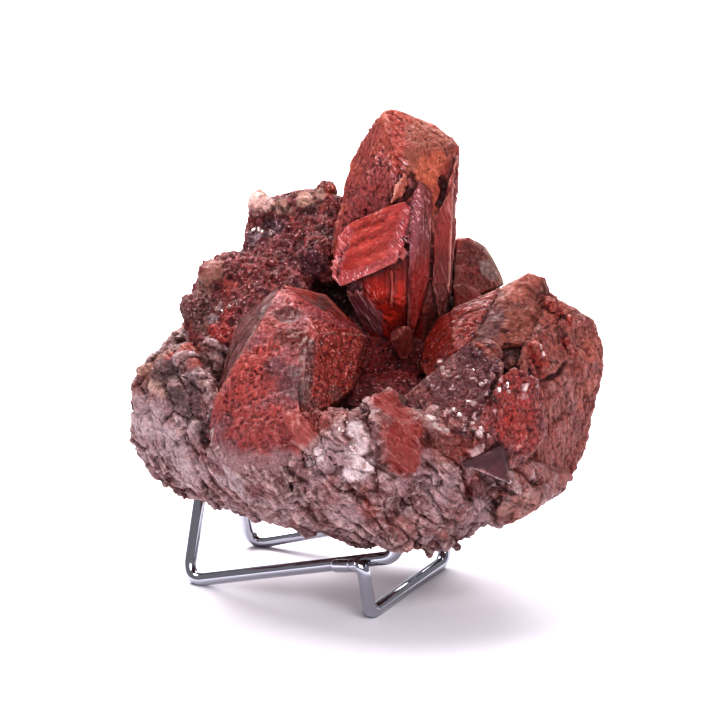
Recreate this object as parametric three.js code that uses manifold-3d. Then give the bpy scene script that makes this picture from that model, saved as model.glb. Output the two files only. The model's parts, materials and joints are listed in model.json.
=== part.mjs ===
// A red gypsum specimen on a bent-wire display easel.
//
// Millimetres, +Z up. The origin is on the table under the middle of the model, +X is to the right
// and +Y points away from the viewer. The rock is one grown-together solid: crystals and rough matrix
// are each the hull of a few corner points, joined by manifold-3d. The easel is two bent wires.

import * as THREE from 'three';
import { ConvexGeometry } from 'three/addons/geometries/ConvexGeometry.js';
import { mergeVertices } from 'three/addons/utils/BufferGeometryUtils.js';
import Module from 'manifold-3d';

const wasm = await Module();
wasm.setup();

// ---- Driving dimensions of the easel -------------------------------------------------------------

const WIRE_DIAMETER = 3.2;
const WIRE_RADIUS = WIRE_DIAMETER / 2;
const WIRE_SIDES = 12;
const WIRE_STEP = 2;
const GAP = 0.3;
const FOOT_FLAT_DEPTH = 0.12; // how much of the round wire is worn flat where it stands

const EASEL_CENTRE = [-12.8, 4]; // between the front and rear feet, on the table
const EASEL_TURN = THREE.MathUtils.degToRad(-25.5); // which way the prongs point, from +X
const REAR_CORNER_FORWARD = -27.8; // the wire's corner points, before they are rounded off
const REAR_HALF_WIDTH = 16.7;
const FRONT_FOOT_FORWARD = 25;
const FRONT_FOOT_HALF_WIDTH = 22;
const PRONG_BEND_FORWARD = 32.4;
const PRONG_BEND_HALF_WIDTH = 22.5;
const PRONG_BEND_Z = 17;
const PRONG_TIP_FORWARD = 33;
const PRONG_TIP_Z = 27;
const HOOP_TOP_FORWARD = -27.5;
const HOOP_TOP_HALF_WIDTH = 8;
const HOOP_TOP_Z = 27;
const STUB_START_FORWARD = 15.5; // free end of the front foot's stub, which is welded along the side bar
const STUB_END_FORWARD = 24.8; // where the stub turns down into the leg

const FOOT_Z = WIRE_RADIUS - FOOT_FLAT_DEPTH;
const REAR_CORNER_LIFT = 1.14; // the rounded rear corner runs this far above its corner point
const REAR_CORNER_Z = FOOT_Z - REAR_CORNER_LIFT;
const PRONG_BEND = 3.5; // how far before its corner point each bend starts
const REAR_BEND = 5.5;
const HOOP_BEND = 7;
const STUB_BEND = 4;
const FOOT_BEND = 3.2;

// ---- Corner points of the rock -------------------------------------------------------------------

// Bladed crystals, named from the viewer's side.
const CRYSTALS = {
  tallBody: [
    [-4, 4, 106], [3.5, 2, 118], [6, 4, 118.5], [16.5, 6, 114], [22, 2, 110], [20.5, -4, 92],
    [19.5, -5, 75.5], [17, -3, 67.5], [11.5, 2, 58], [7.5, 2, 58], [-5, -2, 75], [-9, 0, 85],
    [-6.5, 1, 96], [6.5, -6, 110.5], [8.5, -7, 74], [14.5, -8, 95], [1, 16, 110.5],
    [17.5, 18, 109], [20.5, 16, 71.5], [-4.5, 16, 71.5], [8, 14, 49], [-5.5, 16, 91.5],
  ],
  tallPlate: [
    [-4, -8, 93.5], [5.5, -10, 98], [8.5, -10, 99], [10.5, -9, 96.5], [10, -9, 91], [6.5, -11, 84],
    [-0.5, -12, 81], [-6.5, -10, 78], [-9, -7, 80], [-7.5, -7, 89], [-5.5, -1, 90], [9, -1, 96],
    [7.5, -1, 82], [-5.5, -1, 76.5],
  ],
  tallBlade: [
    [10, -7, 100.5], [12, -7, 103.5], [15, -7, 100.5], [15, -10, 89.5], [14.5, -9, 79.5],
    [10.5, -6, 63], [9, -5, 61], [9.5, -11, 82.5], [10, -10, 91.5], [12.5, 2, 99.5], [15, 2, 77],
    [10, 2, 61],
  ],
  tallEdge: [
    [19, -5, 102.5], [21.5, -1, 109.5], [20, -7, 92.5], [19.5, -7, 76.5], [17, -5, 68],
    [14.5, -5, 76], [15.5, -6, 90.5], [21, 6, 106], [19.5, 6, 71], [15, 4, 69],
  ],
  tallFoot: [
    [7, -10, 67.5], [9, -11, 68.5], [10.5, -10, 66.5], [10.5, -9, 62], [8, -9, 60.5],
    [6.5, -10, 63.5], [7.5, -2, 65.5], [10.5, -2, 64.5], [9.5, -2, 59.5],
  ],
  leftBlock: [
    [-21, -6, 77.5], [-25, -16, 72], [-31, -24, 63], [-36, -28, 55], [-38.5, -26, 44.5],
    [-27.5, -34, 47], [-16, -34, 50.5], [-15, -30, 60], [-14.5, -25, 65.5], [-12, -19, 69],
    [-14, -15, 72], [-0.5, -8, 66], [-2, -14, 63], [-4, -22, 56], [-8, -27, 54],
    [-16.5, -18, 42.5], [-2, -6, 51.5], [-33.5, -6, 41.5], [-29, 0, 62.5],
  ],
  leftBevel: [
    [-21, -5, 77.5], [-31.5, -6, 69.5], [-32.5, -10, 66.5], [-34, -16, 59.5], [-36, -19, 54.5],
    [-38.5, -22, 46.5], [-22, -9, 75.5], [-25.5, -15, 71.5], [-28, -19, 67], [-31, -23, 63],
    [-33.5, -25, 59], [-24, 4, 71.5], [-34, 2, 54.5],
  ],
  leftPlate: [
    [-21, -4, 77.5], [-10, -4, 75], [-5.5, -4, 69], [-0.5, -5, 65], [-11.5, -8, 69.5],
    [-20, -6, 76.5], [-16.5, 4, 69], [-4.5, 4, 63], [-19, 4, 71.5],
  ],
  rightPrism: [
    [12, -12, 59.5], [13.5, -10, 65.5], [17, -8, 70.5], [24.5, -5, 73.5], [32, -2, 76],
    [30.5, -13, 68], [23, -18, 65.5], [17, -18, 59], [13.5, -16, 57.5], [20.5, -16, 69],
    [32.5, 10, 70.5], [18, 10, 62.5], [15.5, 6, 53.5], [29.5, -4, 53.5],
  ],
  rightTop: [
    [32, -2, 76], [39, 0, 79.5], [43, 2, 78], [44, 2, 74], [43.5, -2, 71.5], [30.5, -13, 68],
    [38.5, -16, 65], [24, -19, 66], [43, 20, 70.5], [33, 20, 68], [47.5, 10, 60], [30, 0, 55],
  ],
  rightBlock: [
    [44, 2, 74], [50.5, 3, 69.5], [55, 4, 66.5], [57.5, 4, 60.5], [58, 4, 54.5], [55.5, 2, 50],
    [53, 0, 43], [53, -2, 34.5], [50.5, -6, 31], [48, -10, 28], [41, -12, 68], [36, -19, 64],
    [38, -26, 49.5], [31, -28, 38], [43, -18, 29.5], [56, 24, 59.5], [56, 20, 42],
    [48.5, 14, 25.5], [43.5, 26, 64],
  ],
  rightGlitter: [
    [7.5, -28, 55], [15, -25, 61], [23, -22, 67], [27.5, -19, 66.5], [32, -24, 63],
    [30.5, -34, 56.5], [23.5, -38, 49], [14, -37, 50.5], [9.5, -32, 54], [25, 0, 57.5],
    [12.5, -6, 49], [29.5, -10, 40],
  ],
  rightPeak: [
    [31.5, -30, 62], [33.5, -28, 63], [40, -26, 59], [41.5, -28, 45], [35.5, -32, 39.5],
    [27.5, -38, 40.5], [23.5, -39, 48], [27, -36, 57], [41.5, -6, 49], [32, -10, 35],
  ],
  rearRightCrystal: [
    [22, 20, 84], [25.5, 19, 84.5], [29, 19, 82.5], [32.5, 18, 77], [34, 16, 73], [25, 12, 70],
    [21, 12, 72], [22, 30, 78.5], [32.5, 32, 72], [28.5, 28, 66],
  ],
  rearRightChip: [
    [20.5, 6, 75], [24, 6, 75.5], [27.5, 4, 73.5], [28.5, 2, 71.5], [21, 4, 69], [23, 16, 69],
    [29, 14, 68],
  ],
  backCrystalTall: [
    [-8, 36, 54], [2, 40, 50], [6, 34, 46], [-6, 30, 46], [-4, 42, 72], [4, 44, 70], [7, 38, 72],
    [-2, 36, 78],
  ],
  backCrystalLeft: [
    [-34, 28, 46], [-27, 34, 42], [-23, 30, 38], [-32, 22, 42], [-38, 35, 60], [-31, 40, 58],
    [-27, 35, 66], [-35, 29, 66],
  ],
};

// The lumps of matrix and sugary crust that they grow from.
const MATRIX = {
  rightUnderside: [
    [23.5, -38, 45], [33, -32, 41.5], [44.5, -22, 36], [50, -14, 33], [46, -16, 28.5],
    [40, -22, 26], [34, -26, 24.5], [27.5, -28, 24.5], [21.5, -34, 32], [48, 6, 25], [33, 6, 20],
    [24.5, -10, 30],
  ],
  sugaryLow: [
    [-45.5, -2, 65], [-45, 0, 70.5], [-42, 4, 77], [-39.5, 6, 80.5], [-36, 8, 83], [-29, 4, 83.5],
    [-17.5, 0, 82], [-12, -4, 73.5], [-23.5, -10, 67.5], [-36.5, -12, 62.5], [-44.5, -6, 61.5],
    [-42.5, 24, 72.5], [-32.5, 28, 79], [-17, 28, 76], [-42.5, 24, 56.5], [-14.5, 20, 60.5],
    [-29, 0, 57.5],
  ],
  sugaryTop: [
    [-32, 12, 85], [-31, 14, 89], [-28.5, 16, 93.5], [-26, 17, 95], [-20.5, 18, 93.5],
    [-15.5, 18, 95], [-12.5, 18, 97], [-10.5, 18, 97.5], [-8, 14, 95.5], [-6, 8, 90.5],
    [-7.5, 2, 74.5], [-16.5, 0, 80], [-27, 4, 81], [-28.5, 26, 88.5], [-11.5, 27, 92],
    [-6, 28, 76.5], [-30, 28, 71.5], [-7, 26, 61.5],
  ],
  leftLobe: [
    [-43, -4, 64], [-47.5, -4, 60], [-54, -4, 59.5], [-57, -6, 56], [-58, -8, 49.5],
    [-58, -8, 42.5], [-56.5, -8, 36], [-52.5, -8, 31.5], [-49, -8, 26.5], [-43.5, -8, 23.5],
    [-37.5, -12, 23], [-42.5, -18, 64.5], [-48.5, -20, 52.5], [-44.5, -23, 41], [-38.5, -26, 34.5],
    [-33.5, -30, 45.5], [-36, -24, 58.5], [-52.5, 12, 51.5], [-56, 10, 37], [-51, 14, 27.5],
    [-42.5, 18, 24], [-37, 16, 48.5],
  ],
  rimLeft: [
    [-40.5, -14, 24.5], [-34.5, -18, 25.5], [-31, -20, 24.5], [-24.5, -22, 23], [-21, -22, 21],
    [-38, -30, 45.5], [-27.5, -36, 49], [-16, -37, 52.5], [-16, -41, 41.5], [-30, -37, 40.5],
    [-18.5, -36, 31.5], [-16.5, -16, 19], [-34.5, 10, 22.5], [-19.5, 14, 17.5], [-36.5, 0, 42.5],
    [-16.5, -10, 50],
  ],
  rimMiddle: [
    [-24, -24, 24], [-16.5, -24, 20.5], [-11.5, -24, 19.5], [-6.5, -24, 17.5], [-1.5, -24, 16.5],
    [3.5, -24, 16], [7, -22, 17], [9, -20, 18], [-16, -36, 53.5], [-6, -34, 55.5], [2, -32, 56.5],
    [6.5, -30, 55], [12, -36, 50], [-4.5, -43, 49.5], [2.5, -44, 40], [-13.5, -42, 39.5],
    [-9, -36, 28], [5, -37, 28], [8, 10, 18.5], [-17, 14, 17.5], [-12, 0, 42.5], [8, 0, 42.5],
  ],
  rimRight: [
    [10.5, -22, 18.5], [13.5, -22, 16], [16.5, -22, 16], [19, -22, 16], [21.5, -22, 18.5],
    [23.5, -22, 21], [27.5, -24, 23], [8.5, -32, 26.5], [14.5, -37, 28], [21, -39, 33.5],
    [12, -40, 46], [23.5, -40, 46], [28.5, -32, 31.5], [9.5, -36, 47.5], [28.5, 12, 18],
    [13, 8, 15.5], [8, 0, 34.5], [30.5, 6, 35.5],
  ],
  tallRoot: [
    [-5.5, 4, 71.5], [7.5, 0, 67.5], [19, 4, 71.5], [20, 2, 62], [12.5, -4, 53.5], [0.5, -4, 53.5],
    [-8, 2, 62], [-7, 24, 69.5], [20.5, 24, 69.5], [26, 24, 46.5], [-9.5, 24, 46.5],
  ],
  core: [
    [-32, -16, 30], [-16, -22, 26], [18, -22, 26], [34, -16, 34], [-32, 0, 52], [-8, -8, 54],
    [10, -10, 54], [28, -2, 58], [-36, 14, 40], [-32, 20, 60], [-2, 24, 62], [32, 22, 60],
    [40, 10, 36], [28, 20, 24], [-2, 20, 20], [-30, 20, 30], [34, -10, 50],
  ],
  heartLeft: [
    [-45, -2, 38], [-45, 10, 38], [-38, -12, 36], [-40, 14, 34], [-43, 0, 58], [-40, 8, 62],
    [-34, 14, 66], [-26, -10, 58], [-24, 2, 68], [-14, -4, 62], [-11, 8, 68], [-14, 16, 68],
    [-8, 12, 40], [-8, -8, 46], [-30, -14, 48],
  ],
  heartRight: [
    [24, -8, 36], [44, -8, 36], [48, 6, 36], [28, 16, 36], [26, -10, 56], [42, -10, 60],
    [47, 6, 60], [40, 18, 64], [26, 16, 68], [24, 0, 64], [38, -2, 68],
  ],
  heartLow: [
    [-42, -4, 28], [-40, 10, 26], [-30, 16, 26], [-20, -20, 24], [24, -18, 22], [34, -12, 26],
    [38, 6, 26], [30, 14, 24], [-36, -8, 44], [30, -10, 44], [30, 14, 40], [-34, 14, 40],
  ],
  backMiddle: [
    [-28, 34, 50], [-10, 38, 42], [10, 38, 46], [25, 35, 54], [28, 30, 64], [-24, 30, 70],
    [-2, 33, 74], [15, 31, 72], [-24, 27, 30], [-2, 29, 23], [20, 26, 26], [-30, 12, 28],
    [26, 8, 22], [-2, 10, 20], [-26, 10, 74], [22, 10, 70], [-8, 8, 20],
  ],
  backLeft: [
    [-55, 0, 42], [-53, 12, 38], [-49, 22, 44], [-43, 29, 52], [-32, 33, 42], [-26, 33, 62],
    [-33, 27, 76], [-44, 16, 68], [-51, 4, 60], [-55, 4, 52], [-40, 18, 31], [-26, 26, 28],
    [-12, 22, 30], [-16, 32, 68], [-16, 10, 74], [-22, 20, 80],
  ],
  backRight: [
    [48, -6, 30], [54, 4, 40], [55, 15, 46], [49, 25, 52], [40, 31, 58], [28, 33, 62],
    [20, 33, 44], [32, 28, 30], [44, 14, 27], [50, 4, 62], [44, 20, 68], [30, 26, 70], [20, 6, 24],
  ],
  sugaryBack: [
    [-30, 30, 66], [-22, 34, 70], [-14, 34, 68], [-8, 28, 70], [-29, 24, 88], [-24, 30, 92],
    [-16, 32, 90], [-11, 26, 92], [-12, 20, 97], [-26, 18, 92],
  ],
};

// ---- Solids --------------------------------------------------------------------------------------

function toSolid(geometry) {
  const bare = geometry.clone();
  bare.deleteAttribute('normal');
  bare.deleteAttribute('uv');
  const merged = mergeVertices(bare, 1e-4);
  return new wasm.Manifold(new wasm.Mesh({
    numProp: 3,
    vertProperties: new Float32Array(merged.attributes.position.array),
    triVerts: new Uint32Array(merged.index.array),
  }));
}

function toGeometry(solid) {
  const mesh = solid.getMesh();
  const geometry = new THREE.BufferGeometry();
  geometry.setAttribute('position', new THREE.BufferAttribute(mesh.vertProperties, 3));
  geometry.setIndex(new THREE.BufferAttribute(mesh.triVerts, 1));
  geometry.computeVertexNormals();
  return geometry;
}

function hull(corners) {
  return toSolid(new ConvexGeometry(corners.map(([x, y, z]) => new THREE.Vector3(x, y, z))));
}

// ---- Easel wires ---------------------------------------------------------------------------------

// A point given along the easel (towards the prongs), across it and up, in the model's axes.
function onEasel(forward, across, up) {
  const cos = Math.cos(EASEL_TURN);
  const sin = Math.sin(EASEL_TURN);
  return new THREE.Vector3(
    EASEL_CENTRE[0] + forward * cos - across * sin,
    EASEL_CENTRE[1] + forward * sin + across * cos,
    up,
  );
}

// Straight runs between the points, with each inner corner rounded off over its own bend length.
function bentPath(points, bends) {
  const path = new THREE.CurvePath();
  let from = points[0];
  for (let i = 1; i < points.length - 1; i += 1) {
    const corner = points[i];
    const into = corner.clone().addScaledVector(points[i - 1].clone().sub(corner).normalize(), bends[i - 1]);
    const out = corner.clone().addScaledVector(points[i + 1].clone().sub(corner).normalize(), bends[i - 1]);
    path.add(new THREE.LineCurve3(from, into));
    path.add(new THREE.QuadraticBezierCurve3(into, corner, out));
    from = out;
  }
  path.add(new THREE.LineCurve3(from, points[points.length - 1]));
  return path;
}

// A round wire of the given radius along a path.
function wire(path, radius) {
  const section = new THREE.Shape();
  section.absarc(0, 0, radius, 0, Math.PI * 2);
  return toSolid(new THREE.ExtrudeGeometry(section, {
    steps: Math.round(path.getLength() / WIRE_STEP),
    curveSegments: WIRE_SIDES / 2, // an arc is cut into two sides for each segment
    extrudePath: path,
    bevelEnabled: false,
  }));
}

// Everything below the table, as a block that trims the feet flat.
function belowTable() {
  const size = 200;
  const block = new THREE.BoxGeometry(size, size, size);
  block.translate(0, 0, -size / 2);
  return toSolid(block);
}

// extra lengthens the prongs, for the seat that they stand in.
function framePath(extra = 0) {
  const side = (sign) => [
    onEasel(PRONG_TIP_FORWARD, sign * PRONG_BEND_HALF_WIDTH, PRONG_TIP_Z + extra),
    onEasel(PRONG_BEND_FORWARD, sign * PRONG_BEND_HALF_WIDTH, PRONG_BEND_Z),
    onEasel(REAR_CORNER_FORWARD, sign * REAR_HALF_WIDTH, REAR_CORNER_Z),
    onEasel(HOOP_TOP_FORWARD, sign * HOOP_TOP_HALF_WIDTH, HOOP_TOP_Z),
  ];
  const bends = [PRONG_BEND, REAR_BEND, HOOP_BEND];
  return bentPath([...side(-1), ...side(1).reverse()], [...bends, ...bends.slice().reverse()]);
}

// The stub lies beside the side bar, at the bar's own height, so it follows its slope and spread.
function besideBar(forward, sign) {
  const t = (forward - REAR_CORNER_FORWARD) / (PRONG_BEND_FORWARD - REAR_CORNER_FORWARD);
  const across = THREE.MathUtils.lerp(REAR_HALF_WIDTH, PRONG_BEND_HALF_WIDTH, t) + WIRE_DIAMETER + GAP;
  return onEasel(forward, sign * across, THREE.MathUtils.lerp(REAR_CORNER_Z, PRONG_BEND_Z, t));
}

function footPath() {
  const side = (sign) => [
    besideBar(STUB_START_FORWARD, sign),
    besideBar(STUB_END_FORWARD, sign),
    onEasel(FRONT_FOOT_FORWARD, sign * FRONT_FOOT_HALF_WIDTH, FOOT_Z),
  ];
  const bends = [STUB_BEND, FOOT_BEND];
  return bentPath([...side(-1), ...side(1).reverse()], [...bends, ...bends.slice().reverse()]);
}

const table = belowTable();
const frameWire = wire(framePath(), WIRE_RADIUS).subtract(table);
const footWire = wire(footPath(), WIRE_RADIUS).subtract(table);

// ---- The rock, with a seat for the wires that carry it --------------------------------------------

function rock() {
  const blocks = [...Object.values(CRYSTALS), ...Object.values(MATRIX)].map(hull);
  const grown = blocks.reduce((whole, block) => whole.add(block));
  const seat = wire(framePath(GAP), WIRE_RADIUS + GAP);
  const pieces = grown.subtract(seat).decompose();
  return pieces.reduce((largest, piece) => (piece.volume() > largest.volume() ? piece : largest));
}

// ---- Scene graph ---------------------------------------------------------------------------------

function named(name, solid, material) {
  const mesh = new THREE.Mesh(toGeometry(solid), material);
  mesh.name = name;
  return mesh;
}

const gypsum = new THREE.MeshStandardMaterial({ color: '#8c3a33', roughness: 0.6, metalness: 0 });
const chromedWire = new THREE.MeshStandardMaterial({ color: '#c9ccd2', roughness: 0.08, metalness: 1 });
const chromedFoot = chromedWire.clone();

const specimen = new THREE.Group();
specimen.name = 'gypsum_specimen';
specimen.add(named('gypsum_cluster', rock(), gypsum));
specimen.add(named('easel_frame_wire', frameWire, chromedWire));
specimen.add(named('easel_foot_wire', footWire, chromedFoot));

export default specimen;
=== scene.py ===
"""A red gypsum specimen on a bent-wire easel.

The rock is worked out in millimetres from the corner points of its crystals and lumps of matrix. Each
of them is a surface on a grid of two directions. Those of one group are wrapped in one closed skin,
which is then cut back to flat crystal faces, grown over with grains and plates, and stained.
"""

import json
from itertools import combinations, product
from typing import NamedTuple

import bpy
import numpy as np
from bpy.props import FloatProperty, IntProperty, PointerProperty
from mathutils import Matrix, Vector

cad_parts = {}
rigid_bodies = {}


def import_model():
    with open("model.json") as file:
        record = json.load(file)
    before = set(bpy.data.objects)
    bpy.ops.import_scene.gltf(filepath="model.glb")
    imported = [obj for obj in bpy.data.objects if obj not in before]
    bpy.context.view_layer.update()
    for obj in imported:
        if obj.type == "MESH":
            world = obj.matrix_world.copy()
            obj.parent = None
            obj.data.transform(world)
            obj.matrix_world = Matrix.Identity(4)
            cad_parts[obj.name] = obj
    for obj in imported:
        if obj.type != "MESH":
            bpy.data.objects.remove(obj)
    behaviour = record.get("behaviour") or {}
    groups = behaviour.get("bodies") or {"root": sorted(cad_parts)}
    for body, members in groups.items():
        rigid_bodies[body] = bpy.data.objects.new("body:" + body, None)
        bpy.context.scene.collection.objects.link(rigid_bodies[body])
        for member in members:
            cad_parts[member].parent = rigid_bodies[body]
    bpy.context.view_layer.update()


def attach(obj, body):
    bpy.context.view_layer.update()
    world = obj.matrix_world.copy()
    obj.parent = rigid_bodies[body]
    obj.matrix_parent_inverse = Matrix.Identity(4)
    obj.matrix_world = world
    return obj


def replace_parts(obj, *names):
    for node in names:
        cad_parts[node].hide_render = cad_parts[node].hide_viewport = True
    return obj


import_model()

bl_info = {
    "name": "Gypsum specimen",
    "version": (1, 0, 0),
    "blender": (4, 5, 0),
    "location": "View3D > Sidebar > Specimen",
    "description": "Builds a red gypsum crystal cluster on a chromed wire easel",
    "category": "Object",
}

MM = 0.001
BODY = "root"
UP = np.array([0.0, 0.0, 1.0])

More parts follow.
